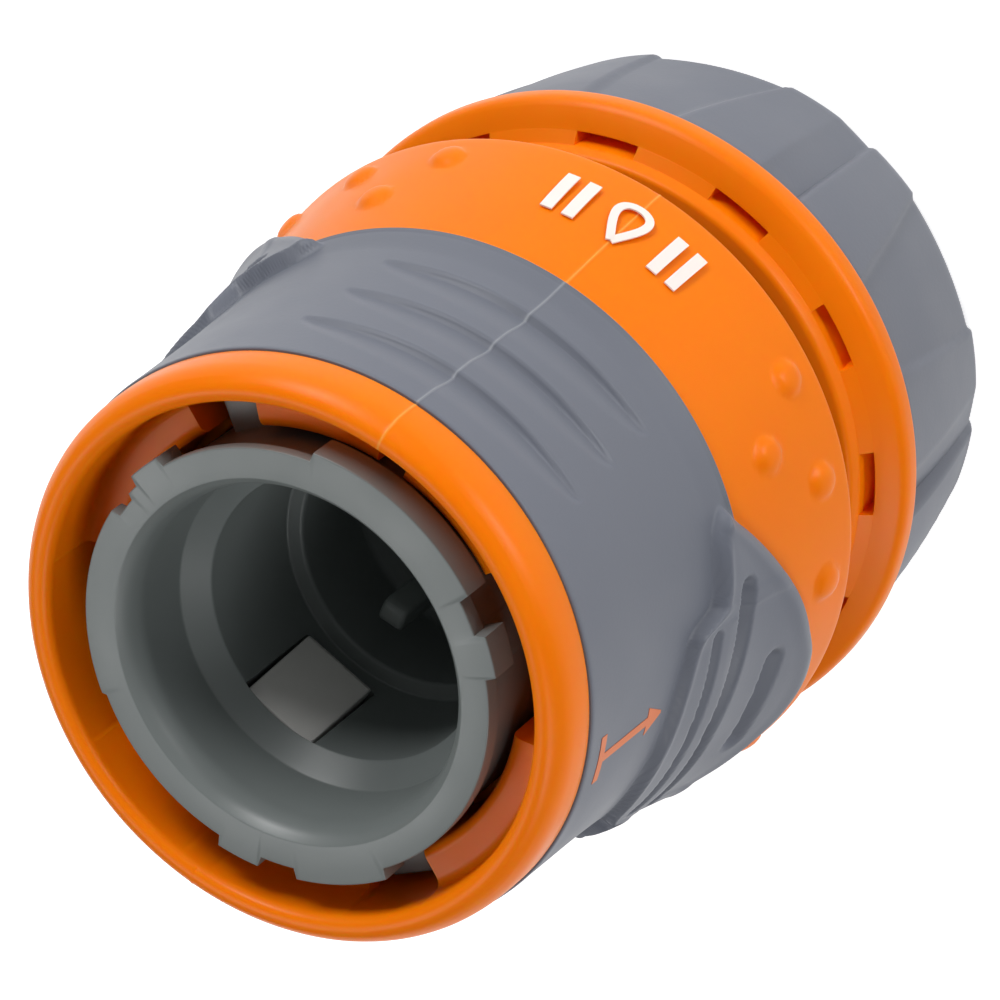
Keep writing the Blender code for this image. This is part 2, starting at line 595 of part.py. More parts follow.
def grip_section(degrees):
    """Section of the soft grip at one angle."""
    off_pad = abs((degrees + 90.0) % 180.0 - 90.0)
    on_pad = off_pad < PAD_DEG
    top = RING_BACK_Z - SEAT
    rows = [(top, -0.15), (top - 0.3, 0.0)]
    if on_pad:
        rows += [(top - 4.0, 0.0), *pad_rows(off_pad)]
    else:
        rows += swoosh_rows(90.0 - off_pad)
    rear = rows[-1][0]
    outer = [(degrees, sleeve_radius(height) + rise, height) for height, rise in rows]
    if rear < GRIP_BACK_Z:
        inner = [(degrees, sleeve_radius(rear) + SEAT, rear),
                 (degrees, sleeve_radius(GRIP_BACK_Z) + SEAT, GRIP_BACK_Z + SEAT)]
    else:
        inner = [(degrees, sleeve_radius(rear) - 0.5, rear), (degrees, sleeve_radius(rear) - 0.8, rear)]
    inner += [(degrees, sleeve_radius(z) - GRIP_T + SEAT, z) for z in
              (max(rear, GRIP_BACK_Z + SEAT), GRIP_BACK_Z + GRIP_LEN * 0.33, RING_BACK_Z - GRIP_LEN * 0.35, top)]
    return outer + inner


def make_sleeve_grip(material):
    """Soft grey layer over the middle of the sleeve."""
    quarter = (0.0, 7.0, 13.0, 19.0, 22.5, 26.5, 30.0, 35.2, 38.3, 38.7, PAD_DEG - 0.1, PAD_DEG + 0.1,
               58.0, 68.0, 79.0)
    half = [*quarter, 90.0, *[180.0 - degrees for degrees in reversed(quarter[1:])]]
    sections = [grip_section(side + degrees) for side in PAD_SIDES_DEG for degrees in half]
    return lofted_ring("sleeve_grip", sections, material)


def make_hose_spigot(material):
    """Grey rear moulding: cup for the socket body, threaded skirt and hose barb."""
    groove_r = CUP_BORE_R + 0.4
    spring_bore_r = VALVE_SPRING_R + VALVE_WIRE / 2 + RUN
    barb = []
    for k in range(BARB_TEETH):
        tooth_z = WEB_Z - 4.1 - k * BARB_PITCH
        barb += [(BARB_ROOT_R, tooth_z), (BARB_R, tooth_z - 0.2)]
    profile = [
        (CUP_R - 0.4, CUP_TOP_Z), (CUP_R, CUP_TOP_Z - 0.4), (CUP_R, SHOULDER_Z + 0.3), (CUP_R - 0.3, SHOULDER_Z),
        (THREAD_MINOR_R, SHOULDER_Z), (THREAD_MINOR_R, SKIRT_END_Z), (SKIRT_BORE_R, SKIRT_END_Z),
        (SKIRT_BORE_R, WEB_Z), (BARB_ROOT_R + 0.9, WEB_Z), (BARB_ROOT_R + 0.2, WEB_Z - 1.7),
        *barb, (BARB_ROOT_R - 0.7, BARB_TIP_Z), (BARB_BORE_R, BARB_TIP_Z), (BARB_BORE_R, WEB_Z - 1.5),
        (THROAT_R, WEB_Z), (THROAT_R, SPRING_SEAT_Z), (spring_bore_r, SPRING_SEAT_Z), (spring_bore_r, CUP_FLOOR_Z - 0.5),
        (spring_bore_r + 0.8, CUP_FLOOR_Z), (CUP_BORE_R, CUP_FLOOR_Z), (CUP_BORE_R, BODY_END_Z + 0.2),
        (groove_r, BODY_END_Z + 0.8), (groove_r, BODY_END_Z + 1.4), (CUP_BORE_R, BODY_END_Z + 1.6),
        (CUP_BORE_R, CUP_TOP_Z - 0.3), (CUP_BORE_R + 0.3, CUP_TOP_Z),
    ]
    spigot = turned("hose_spigot", profile, material, steps=INNER_STEPS)
    ridge = thread_ridge("male_thread", THREAD_MINOR_R - 0.25, THREAD_MAJOR_R,
                         SKIRT_END_Z + 1.1, SHOULDER_Z - 1.3, 0.0)
    combine(spigot, ridge, "UNION")


def make_nut_core(material):
    """Orange nut: slotted flange, female thread and clamping cone."""
    flange_z = NUT_H + FLANGE_T
    core_rear_r = NUT_CORE_R - NUT_TAPER - 0.05
    profile = [
        (NECK_R - 0.3, NECK_TOP_Z), (NECK_R, NECK_TOP_Z - 0.3), (NECK_R + 0.3, NECK_TOP_Z - 0.9),
        (NECK_R + 1.1, flange_z + 0.6), (FLANGE_R - 1.0, flange_z + 0.3), (FLANGE_R - 0.4, flange_z - 0.25),
        (FLANGE_R - 0.05, flange_z - 0.95), (FLANGE_R, NUT_H + 0.6), (FLANGE_R - 0.4, NUT_H),
        (NUT_CORE_R, NUT_H), (NUT_CORE_R - 0.63 * NUT_TAPER, 3.0), (core_rear_r, 0.4), (core_rear_r - 0.3, 0.0),
        (HOSE_R + 0.5, 0.0), (HOSE_R + 0.1, 0.4), (HOSE_R + 0.1, REAR_LIP_H), (nut_cone(REAR_LIP_H), REAR_LIP_H),
        (nut_cone(COLLET_TOP_Z), COLLET_TOP_Z), (NUT_ROOT_R, COLLET_TOP_Z + 0.6), (NUT_ROOT_R, NECK_TOP_Z),
    ]
    nut = turned("nut_core", profile, material)
    male_first = SKIRT_END_Z + 1.1
    female_first = COLLET_TOP_Z + 1.9
    phase = (female_first - male_first) / THREAD_PITCH * 360.0 + 180.0
    ridge = thread_ridge("female_thread", NUT_ROOT_R + 0.25, THREAD_MINOR_R + RUN + 0.05,
                         female_first, NECK_TOP_Z - 1.2, phase)
    combine(nut, ridge, "UNION")
    slot_r = NECK_R + 0.35
    slot_floor = flange_z + 0.6 - SLOT_DEPTH
    for i in range(SLOT_COUNT):
        middle = NUT_PHASE_DEG + i * 360.0 / SLOT_COUNT
        slot = ring_sector(f"flange_slot_{i}", (slot_r, slot_r + SLOT_W), (slot_floor, NECK_TOP_Z + 1.0),
                           (middle - SLOT_DEG / 2, middle + SLOT_DEG / 2), 1)
        combine(nut, slot)


def nut_grip_section(centre, offset_rear, offset_front, style):
    """Section of the nut's soft layer along a line that slants from the flange to the rear."""
    heights = (NUT_H - 0.2, NUT_H - 0.6, NUT_H * 0.5, 2.6, 1.2, 0.5, 0.3)
    trims = (0.25, 0.0, 0.0, 0.0, 0.2, 0.6, 1.1)
    outer = []
    for height, trim in zip(heights, trims):
        share = height / NUT_H
        ridge = NUT_REAR_R + NUT_TAPER * (0.35 * share + 0.65 * math.sin(share * math.pi / 2))
        offset = offset_rear + (offset_front - offset_rear) * share
        crease = NUT_CREASE_DEG[0] + (NUT_CREASE_DEG[1] - NUT_CREASE_DEG[0]) * share
        radius = {"ridge": ridge, "middle": ridge * math.cos(math.radians(crease)),
                  "edge": ridge * 0.99, "groove": ridge * 0.99 - NUT_GROOVE_DEPTH}[style]
        outer.append((centre + offset, radius - trim, height))
    inner = [(outer[-1][0], NUT_SOFT_R - NUT_TAPER - 0.05, 0.3),
             (outer[-2][0], NUT_SOFT_R - 0.63 * NUT_TAPER, 3.0), (outer[0][0], NUT_SOFT_R, NUT_H - 0.2)]
    return outer + inner


def make_nut_grip(material):
    """Soft grey layer on the nut, with six creased pads and grooves between them."""
    rear, front = NUT_CREASE_DEG
    foot = NUT_GROOVE_DEG + 1.2
    groove = 180.0 / NUT_PADS
    stations = ((-groove, -groove, "groove"), (-foot, -foot, "groove"), (-NUT_GROOVE_DEG, -NUT_GROOVE_DEG, "edge"),
                (-rear, -front, "ridge"), (0.0, 0.0, "middle"), (rear, front, "ridge"),
                (NUT_GROOVE_DEG, NUT_GROOVE_DEG, "edge"), (foot, foot, "groove"))
    centres = [NUT_PHASE_DEG + pad * 360.0 / NUT_PADS for pad in range(NUT_PADS)]
    sections = [nut_grip_section(centre, *station) for centre in centres for station in stations]
    return lofted_ring("nut_grip", sections, material)


def make_collet(material):
    """Clamping collet whose fingers the nut's cone presses on the hose."""
    bottom = COLLET_BOTTOM_Z
    ring_z = COLLET_TOP_Z - 1.3
    profile = [
        (nut_cone(ring_z) - RUN, COLLET_TOP_Z), (nut_cone(ring_z) - RUN, ring_z),
        (nut_cone(bottom + 0.2) - RUN, bottom + 0.2), (nut_cone(bottom) - RUN - 0.2, bottom), (HOSE_R, bottom),
        (HOSE_R, bottom + 1.0), (HOSE_R - COLLET_BITE, bottom + 1.4), (HOSE_R, bottom + 1.8), (HOSE_R, bottom + 2.6),
        (HOSE_R - COLLET_BITE, bottom + 3.0), (HOSE_R, bottom + 3.4), (HOSE_R, COLLET_TOP_Z),
    ]
    collet = turned("clamp_collet", profile, material, steps=INNER_STEPS)
    slot_h = COLLET_H - 2.0
    for i in range(COLLET_SLOTS):
        slot = block(f"collet_slot_{i}", (4 * HOSE_R, COLLET_SLOT_W, slot_h + 1.0),
                     (0.0, 0.0, bottom + slot_h / 2 - 0.5), i * 180.0 / COLLET_SLOTS)
        combine(collet, slot)


def make_valve_piston(material):
    """Water stop piston: sealing head with guide fins, boss and two prongs that the fitting pushes."""
    pilot_r = VALVE_SPRING_R - VALVE_WIRE / 2 - RUN
    boss_top = SEAT_Z + 0.7
    profile = [
        (0.0, boss_top), (BOSS_R - 0.3, boss_top), (BOSS_R, boss_top - 0.3), (BOSS_R, HEAD_TOP_Z),
        (PISTON_R - 0.2, HEAD_TOP_Z), (PISTON_R, HEAD_TOP_Z - 0.2), (PISTON_R, HEAD_BOTTOM_Z),
        (pilot_r, HEAD_BOTTOM_Z), (pilot_r - 0.2, HEAD_BOTTOM_Z - 1.0), (0.0, HEAD_BOTTOM_Z - 1.0),
    ]
    piston = turned("valve_piston", profile, material, steps=24, closed=False)
    for i, degrees in enumerate((45.0, 135.0)):
        fin = block(f"piston_fin_{i}", (2 * (CHAMBER_R - RUN), PISTON_FIN_W, PISTON_T - 0.4),
                    (0.0, 0.0, HEAD_BOTTOM_Z + PISTON_T / 2), degrees)
        combine(piston, fin, "UNION")
    top = RIM_Z - PRONG_TOP
    near, far = PRONG_R - PRONG_T / 2, PRONG_R + PRONG_T / 2
    outline = [(near, SEAT_Z), (far, SEAT_Z), (far, top - 0.3), (far - 0.3, top), (near + 0.3, top), (near, top - 0.3)]
    for i, side in enumerate(PARTING_SIDES):
        combine(piston, radial_prism(f"piston_prong_{i}", outline, PRONG_T, PARTING_DEG + side), "UNION")


def build():
    """Make every piece of the connector."""
    clear_scene()
    socket_grey = make_material("socket_grey_polypropylene", (0.145, 0.17, 0.165), 0.38)
    orange = make_material("orange_abs", (0.95, 0.2, 0.01), 0.32)
    soft_grey = make_material("soft_grip_grey_tpe", (0.16, 0.17, 0.2), 0.6)
    pale = make_material("pale_acetal", (0.42, 0.4, 0.38), 0.4)
    steel = make_material("stainless_spring_wire", (0.6, 0.6, 0.6), 0.3, 1.0)
    rubber = make_material("black_nitrile_rubber", (0.02, 0.02, 0.02), 0.6)

    make_socket_body(socket_grey)
    make_claws(pale)
    make_sleeve(orange)
    make_sleeve_grip(soft_grey)
    make_hose_spigot(socket_grey)
    make_nut_core(orange)
    make_nut_grip(soft_grey)
    make_collet(pale)
    make_valve_piston(pale)
    o_ring("valve_seal", SEAT_R + SEAL_CORD / 2 + 0.1, SEAT_Z - SEAT - SEAL_CORD / 2, rubber)
    o_ring("body_seal", BODY_R - SEAL_CORD / 2 + RUN / 2, BODY_SEAL_Z, rubber)
    coil_spring("valve_spring", VALVE_SPRING_R, VALVE_WIRE, SPRING_SEAT_Z + SEAT, HEAD_BOTTOM_Z - SEAT, VALVE_COILS, steel)
    coil_spring("sleeve_spring", SLEEVE_SPRING_R, SLEEVE_WIRE, CUP_TOP_Z + SEAT, CAM_RING_Z - SEAT, SLEEVE_COILS, steel,
                points_per_turn=11)


build()
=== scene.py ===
"""Studio view of a garden hose quick connector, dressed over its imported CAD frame.

Lengths in the classes are in millimetres. The axis is vertical, with the socket's mouth up and the clamp nut's
rear face on the floor. Angles named "off the parting line" are counted from -Y, and angles "off the pad" from the
middle of the nearest thumb pad, on -X and +X. The claws stand a little beside the parting line.
"""
import logging
import math
from collections.abc import Callable, Sequence
from dataclasses import dataclass, replace
from enum import Enum

import bmesh
import bpy
import numpy as np
from bpy.types import Material, Mesh, Node, NodeSocket, NodeTree, Object
from mathutils import Matrix, Vector

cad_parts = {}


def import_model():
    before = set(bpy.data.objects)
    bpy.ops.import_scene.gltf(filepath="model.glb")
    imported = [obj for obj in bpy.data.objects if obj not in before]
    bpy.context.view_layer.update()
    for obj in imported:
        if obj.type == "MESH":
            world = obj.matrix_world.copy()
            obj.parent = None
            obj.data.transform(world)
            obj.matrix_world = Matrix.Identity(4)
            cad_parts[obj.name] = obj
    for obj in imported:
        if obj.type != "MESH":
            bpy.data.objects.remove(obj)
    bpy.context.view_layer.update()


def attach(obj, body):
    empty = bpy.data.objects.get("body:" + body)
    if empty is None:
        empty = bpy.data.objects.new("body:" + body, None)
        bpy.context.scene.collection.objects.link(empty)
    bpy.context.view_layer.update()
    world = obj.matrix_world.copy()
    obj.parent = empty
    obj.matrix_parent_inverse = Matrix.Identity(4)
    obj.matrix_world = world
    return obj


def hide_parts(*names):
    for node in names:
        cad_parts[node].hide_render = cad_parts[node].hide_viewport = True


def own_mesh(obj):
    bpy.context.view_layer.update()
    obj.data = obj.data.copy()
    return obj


LOG = logging.getLogger("hose_connector")
MM = 0.001
PARTING_DEG = -90.0
CLAW_DEG = -9.0
THREAD_PITCH = 3.2
MALE_THREAD_Z = 10.2
SEAL_CORD = 1.4
# How much of a thin orange wall's light comes from within it, and how far red, green and blue travel there
GLOW_SHARE = 0.35
GLOW_REACH = (1.0, 0.3, 0.08)
# In degrees: turns to the front and the rear side, the gap between the stations beside a seam, and the seams' middles
SIDES = (0.0, 180.0)
SEAM_GAP = 0.26
SEAM_MIDDLES = (90.0, 270.0)
WHITE = (1.0, 1.0, 1.0, 1.0)


class Body(Enum):
    """The moving bodies of the connector."""

    SOCKET = "body"
    SLEEVE = "sleeve_body"
    CLAW_FRONT = "claw_front_body"
    CLAW_REAR = "claw_rear_body"
    PISTON = "piston"
    COLLET = "collet"
    NUT = "nut"


class Pattern(Enum):
    """How a mould left the skin of a piece."""

    GRAINED = "fine spark-eroded grain"
    SATIN = "satin, nearly smooth"
    DRAWN = "lines along a drawn wire"


def linear(hex_colour: str) -> tuple[float, float, float, float]:
    """Turn an sRGB hex value into linear colour.

    Args:
        hex_colour: Six digits with a leading hash.

    Returns:
        Linear red, green, blue and an alpha of one.
    """
    parts = [int(hex_colour[i:i + 2], 16) / 255 for i in (1, 3, 5)]
    values = [v / 12.92 if v <= 0.04045 else ((v + 0.055) / 1.055) ** 2.4 for v in parts]
    return values[0], values[1], values[2], 1.0


def fill(node: Node, values: dict) -> None:
    """Set values on a node's sockets, by name or index."""
    for name, value in values.items():
        node.inputs[name].default_value = value


def add_node(tree: NodeTree, kind: str, inputs: dict | None = None, links: dict | None = None,
             **settings: object) -> Node:
    """Add one shader node.

    Args:
        tree: Node tree that takes the node.
        kind: Blender's name for the node type.
        inputs: Values for its sockets, by name or index.
        links: Output sockets to link to its inputs, by name or index.
        **settings: Attributes of the node itself.

    Returns:
        The new node.
    """
    made = tree.nodes.new(kind)
    for name, value in settings.items():
        setattr(made, name, value)
    fill(made, inputs or {})
    for name, source in (links or {}).items():
        tree.links.new(source, made.inputs[name])
    return made


def noise(tree: NodeTree, where: NodeSocket, grain_mm: float, detail: float, roughness: float = 0.5) -> NodeSocket:
    """Cloudy pattern with grains of one size."""
    values = {"Scale": 1.0 / (grain_mm * MM), "Detail": detail, "Roughness": roughness}
    return add_node(tree, "ShaderNodeTexNoise", values, {"Vector": where}).outputs["Fac"]


def bump(tree: NodeTree, strength: float, depth_mm: float, links: dict[str, NodeSocket]) -> NodeSocket:
    """Relief of one depth."""
    return add_node(tree, "ShaderNodeBump", {"Strength": strength, "Distance": depth_mm * MM}, links).outputs[0]


def principled(name: str, values: dict) -> tuple[Material, Node]:
    """New material and its shader, with values on the shader's sockets."""
    made = bpy.data.materials.new(name)
    made.use_nodes = True
    shader = made.node_tree.nodes["Principled BSDF"]
    fill(shader, values)
    return made, shader


def ease(low: float, high: float, value: np.ndarray) -> np.ndarray:
    """Smooth step from 0 at low to 1 at high."""
    share = np.clip((value - low) / (high - low), 0.0, 1.0)
    return share * share * (3.0 - 2.0 * share)


def spread(table: Sequence[tuple[float, float]], value: np.ndarray) -> np.ndarray:
    """Read a table of (position, value) along a smooth curve through its points.

    Args:
        table: Points in rising order of position.
        value: Positions to read.

    Returns:
        The values, held at the table's ends.
    """
    xs = np.array([x for x, _ in table])
    ys = np.array([y for _, y in table])
    secant = np.diff(ys) / np.diff(xs)
    slope = np.zeros_like(xs)
    same = secant[1:] * secant[:-1] > 0
    slope[1:-1] = np.where(same, 2 * secant[1:] * secant[:-1] / np.where(same, secant[1:] + secant[:-1], 1.0), 0.0)
    at = np.clip(value, xs[0], xs[-1])
    i = np.clip(np.searchsorted(xs, at, side="right") - 1, 0, len(xs) - 2)
    width = xs[i + 1] - xs[i]
    t = (at - xs[i]) / width
    return ((1 + 2 * t) * (1 - t) ** 2 * ys[i] + t * (1 - t) ** 2 * width * slope[i]
            + t * t * (3 - 2 * t) * ys[i + 1] + t * t * (t - 1) * width * slope[i + 1])


def off_parting(degrees: np.ndarray) -> np.ndarray:
    """Signed angle from the nearer parting line, within 90 degrees."""
    return (degrees - PARTING_DEG + 90.0) % 180.0 - 90.0


def off_pad(degrees: np.ndarray) -> np.ndarray:
    """Signed angle from the middle of the nearer thumb pad, within 90 degrees."""
    return (degrees + 90.0) % 180.0 - 90.0


def about_axis(radius: np.ndarray | float, angle: np.ndarray, height: np.ndarray) -> np.ndarray:
    """Points from radius, angle in radians and height."""
    return np.stack((radius * np.cos(angle), radius * np.sin(angle), height), axis=-1)


def rolled(depth: float, length: float, inside: np.ndarray) -> np.ndarray:
    """How far a rounded edge falls back, at distances inside it."""
    share = np.clip(inside / length, 0.0, 1.0)
    return depth * (1.0 - np.sqrt(share * (2.0 - share)))


@dataclass(frozen=True)
class Corner:
    """One corner of a turned section, with its fillet and the rows that follow it."""

    radius: float
    height: float
    fillet: float = 0.0
    rows: int = 0


def section(*rows: tuple[float, ...]) -> list[Corner]:
    """Corners from rows of (radius, height, fillet, rows), the last two left out where they are zero."""
    return [Corner(*row) for row in rows]


class Skin:
    """A closed skin round the axis, from sections that may change with the angle."""

    FILLET_STEPS = 4

    def __init__(self, degrees: np.ndarray, corners: Callable[[float], Sequence[Corner]]) -> None:
        """Lay out the sections.

        Args:
            degrees: Angle of each section, rising through one turn.
            corners: Gives the closed section at an angle; its outer side runs from top to bottom.
        """
        self.degrees = degrees
        lists = [corners(float(angle)) for angle in degrees]
        first = lists[0]
        points = np.array([[(c.radius, c.height) for c in row] for row in lists])
        before = np.roll(points, 1, axis=1)
        after = np.roll(points, -1, axis=1)
        arrive = self._toward(points, before, first)
        leave = self._toward(points, after, first)
        rows: list[np.ndarray] = []
        self.owner: list[int] = []
        for i, corner in enumerate(first):
            here = points[:, i]
            if corner.fillet > 0.0:
                for t in np.linspace(0.0, 1.0, self.FILLET_STEPS + 1):
                    rows.append((1 - t) ** 2 * arrive[:, i] + 2 * t * (1 - t) * here + t * t * leave[:, i])
                    self.owner.append(i)
            else:
                rows.append(here)
                self.owner.append(i)
            following = (i + 1) % len(first)
            for k in range(corner.rows):
                share = (k + 1) / (corner.rows + 1)
                rows.append((1 - share) * leave[:, i] + share * arrive[:, following])
                self.owner.append(i)
        grid = np.stack(rows, axis=1)
        self.radius = grid[..., 0]
        self.height = grid[..., 1]

    @staticmethod
    def _toward(points: np.ndarray, others: np.ndarray, corners: Sequence[Corner]) -> np.ndarray:
        """Points where each fillet meets the side that leads to a neighbouring corner."""
        step = others - points
        length = np.maximum(np.linalg.norm(step, axis=2), 1e-9)
        fillet = np.array([c.fillet for c in corners])[None, :]
        cut = np.minimum(fillet, 0.48 * length)
        return points + step * (cut / length)[..., None]

    def rows_of(self, first: int, last: int) -> slice:
        """Rows that belong to a run of corners."""
        held = [k for k, owner in enumerate(self.owner) if first <= owner <= last]
        return slice(held[0], held[-1] + 1)

    def mesh(self, name: str) -> Mesh:
        """Close the skin into a mesh in metres."""
        place = about_axis(self.radius, np.radians(self.degrees)[:, None], self.height) * MM
        stations, count = self.radius.shape
        here = np.arange(stations * count).reshape(stations, count)
        ahead = np.roll(here, -1, axis=0)
        quads = np.stack((here, np.roll(here, -1, axis=1), np.roll(ahead, -1, axis=1), ahead), axis=-1)
        made = bpy.data.meshes.new(name)
        made.from_pydata(place.reshape(-1, 3).tolist(), [], quads.reshape(-1, 4).tolist())
        return made


def even(count: int, start: float = 0.0) -> np.ndarray:
    """Evenly spread angles over one turn."""
    return start + np.arange(count) * 360.0 / count


def with_edges(base: np.ndarray, edges: Sequence[float], width: float) -> np.ndarray:
    """Add close pairs of angles at edges and drop the others that crowd them.

    Args:
        base: Evenly spread angles.
        edges: Angles at which the section changes.
        width: Degrees over which it changes.

    Returns:
        Rising angles within one turn.
    """
    marks = np.array([mark % 360.0 for edge in edges for mark in (edge - width / 2, edge + width / 2)])
    gap = np.abs((base[:, None] % 360.0 - marks[None, :] + 180.0) % 360.0 - 180.0).min(axis=1)
    return np.sort(np.concatenate((base[gap > width * 0.6] % 360.0, marks)))


def turned(name: str, stations: int, *rows: tuple[float, ...]) -> Mesh:
    """Plain turned shape, from the rows of its section."""
    corners = section(*rows)
    return Skin(even(stations), lambda _: corners).mesh(name)


def placed(name: str, data: bpy.types.ID) -> Object:
    """Put a mesh, a lamp or a camera into the scene."""
    made = bpy.data.objects.new(name, data)
    bpy.context.scene.collection.objects.link(made)
    return made


def add_piece(name: str, mesh: Mesh, material: Material, sharp_deg: float = 40.0) -> Object:
    """Show a mesh as a smooth-shaded piece.

    Args:
        name: Name of the piece.
        mesh: Mesh in metres, in the row frame.
        material: Its finish.
        sharp_deg: Angle above which an edge stays crisp.

    Returns:
        The new object.
    """
    piece = placed(name, mesh)
    mesh.materials.clear()
    mesh.materials.append(material)
    mesh.shade_smooth()
    mesh.set_sharp_from_angle(angle=math.radians(sharp_deg))
    return piece


def settle(piece: Object, body: Body, slot: str, *nodes: str) -> Object:
    """Let a piece ride on a body in place of CAD nodes, and log it."""
    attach(piece, body.value)
    if nodes:
        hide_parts(*nodes)
    LOG.info("%s rides on %s for %s", piece.name, body.value, ", ".join(nodes) or "nothing else")
    return piece


def merged(name: str, meshes: Sequence[Mesh]) -> Mesh:
    """Put several closed meshes into one."""
    whole = bmesh.new()
    for part in meshes:
        whole.from_mesh(part)
    made = bpy.data.meshes.new(name)
    whole.to_mesh(made)
    whole.free()
    return made


def soft_block(name: str, outline: Sequence[tuple[float, float]], width: float, degrees: float,
               bevel: float, shift: float = 0.0) -> Mesh:
    """Extrude an outline of (distance from the axis, height), round its edges and turn it about the axis.

    Args:
        name: Name of the mesh.
        outline: Corners in millimetres.
        width: Thickness across the outline.
        degrees: Angle about the axis.
        bevel: Size of the rounded edges.
        shift: Distance of its middle from the axis, across the outline.

    Returns:
        The mesh in metres.
    """
    bm = bmesh.new()
    loop = [bm.verts.new((out * MM, (shift - width / 2) * MM, height * MM)) for out, height in outline]
    face = bm.faces.new(loop)
    swept = bmesh.ops.extrude_face_region(bm, geom=[face])["geom"]
    far = [item for item in swept if isinstance(item, bmesh.types.BMVert)]
    bmesh.ops.translate(bm, verts=far, vec=(0.0, width * MM, 0.0))
    bmesh.ops.recalc_face_normals(bm, faces=bm.faces)
    bmesh.ops.bevel(bm, geom=[*bm.edges], offset=bevel * MM, segments=3, affect="EDGES", profile=0.5)
    bmesh.ops.rotate(bm, verts=bm.verts, cent=(0, 0, 0), matrix=Matrix.Rotation(math.radians(degrees), 3, "Z"))
    made = bpy.data.meshes.new(name)
    bm.to_mesh(made)
    bm.free()
    return made


def carve(piece: Object, cutters: Sequence[Mesh]) -> None:
    """Cut meshes out of a piece and leave the result in its mesh."""
    for i, mesh in enumerate(cutters):
        cutter = placed(f"{piece.name}_cutter_{i}", mesh)
        cut = piece.modifiers.new("cut", "BOOLEAN")
        cut.operation = "DIFFERENCE"
        cut.object = cutter
        cut.solver = "EXACT"
        evaluated = piece.evaluated_get(bpy.context.evaluated_depsgraph_get())
        result = bpy.data.meshes.new_from_object(evaluated)
        piece.modifiers.remove(cut)
        old = piece.data
        piece.data = result
        bpy.data.meshes.remove(old)
        bpy.data.objects.remove(cutter, do_unlink=True)


def capped_sweep(name: str, rings: np.ndarray, flip: bool = False) -> Mesh:
    """Join a run of closed rings of points and close its ends.

    Args:
        name: Name of the mesh.
        rings: Points in millimetres, by step along the run, place in the ring and axis.
        flip: Whether the rings turn the other way about the run.

    Returns:
        The mesh in metres.
    """
    steps, sides = rings.shape[:2]
    here = np.arange(steps * sides).reshape(steps, sides)
    ahead, back = here[1:], here[:-1]
    quads = np.stack((back, ahead, np.roll(ahead, -1, axis=1), np.roll(back, -1, axis=1)), axis=-1)
    caps = [here[0].tolist(), here[-1][::-1].tolist()]
    if flip:
        quads = np.roll(quads[..., ::-1], 1, axis=-1)
        caps = [cap[::-1] for cap in caps]
    made = bpy.data.meshes.new(name)
    made.from_pydata((rings * MM).reshape(-1, 3).tolist(), [], [*quads.reshape(-1, 4).tolist(), *caps])
    return made


def tube(name: str, path: np.ndarray, radius: float, sides: int = 14) -> Mesh:
    """Sweep a round section along an open path and close its ends.

    Args:
        name: Name of the mesh.
        path: Points in millimetres, one per row.
        radius: Radius of the wire.
        sides: Corners of the section.

    Returns:
        The mesh in metres.
    """
    ahead = np.gradient(path, axis=0)
    ahead /= np.linalg.norm(ahead, axis=1, keepdims=True)
    out = path * np.array([1.0, 1.0, 0.0])
    out /= np.linalg.norm(out, axis=1, keepdims=True)
    out -= (out * ahead).sum(axis=1, keepdims=True) * ahead
    out /= np.linalg.norm(out, axis=1, keepdims=True)
    side = np.cross(ahead, out)
    turn = np.arange(sides) * math.tau / sides
    ring = out[:, None] * np.cos(turn)[None, :, None] + side[:, None] * np.sin(turn)[None, :, None]
    return capped_sweep(name, path[:, None] + ring * radius, flip=True)


def thread_ridge(name: str, base: float, crest: float, low: float, high: float, start_deg: float) -> Mesh:
    """Rounded ridge of the coarse thread, run out at both ends.

    Args:
        name: Name of the mesh.
        base: Radius inside the wall that it grows from.
        crest: Radius of its crest.
        low: Height of its lower end.
        high: Height of its upper end.
        start_deg: Angle of its lower end.

    Returns:
        A closed mesh.
    """
    turns = (high - low) / THREAD_PITCH
    share = np.linspace(0.0, 1.0, int(turns * 96) + 1)
    angle = math.radians(start_deg) + share * turns * math.tau
    middle = low + share * (high - low)
    # The ridge grows to its full height over a sixth of a turn at each end
    run_out = np.minimum(np.minimum(share, 1.0 - share) * turns * 6.0, 1.0)
    reach = (crest - base) * (0.15 + 0.85 * run_out)
    profile = ((0.0, -0.85), (0.86, -0.42), (1.0, -0.25), (1.0, 0.25), (0.86, 0.42), (0.0, 0.85))
    rings = [about_axis(base + reach * out, angle, middle + up) for out, up in profile]
    return capped_sweep(name, np.stack(rings, axis=1), flip=crest < base)


def rectangle(near: float, far: float, low: float, high: float) -> list[tuple[float, float]]:
    """Outline between two distances from the axis and two heights."""
    return [(near, low), (far, low), (far, high), (near, high)]


def seal_ring(name: str, radius: float, height: float, rubber: Material) -> Object:
    """Rubber ring round the axis."""
    reach = SEAL_CORD / 2
    turn = [-k * math.tau / 16 for k in range(16)]
    rows = [(radius + reach * math.cos(t), height + reach * math.sin(t)) for t in turn]
    return add_piece(name, turned(name, 120, *rows), rubber, 80.0)


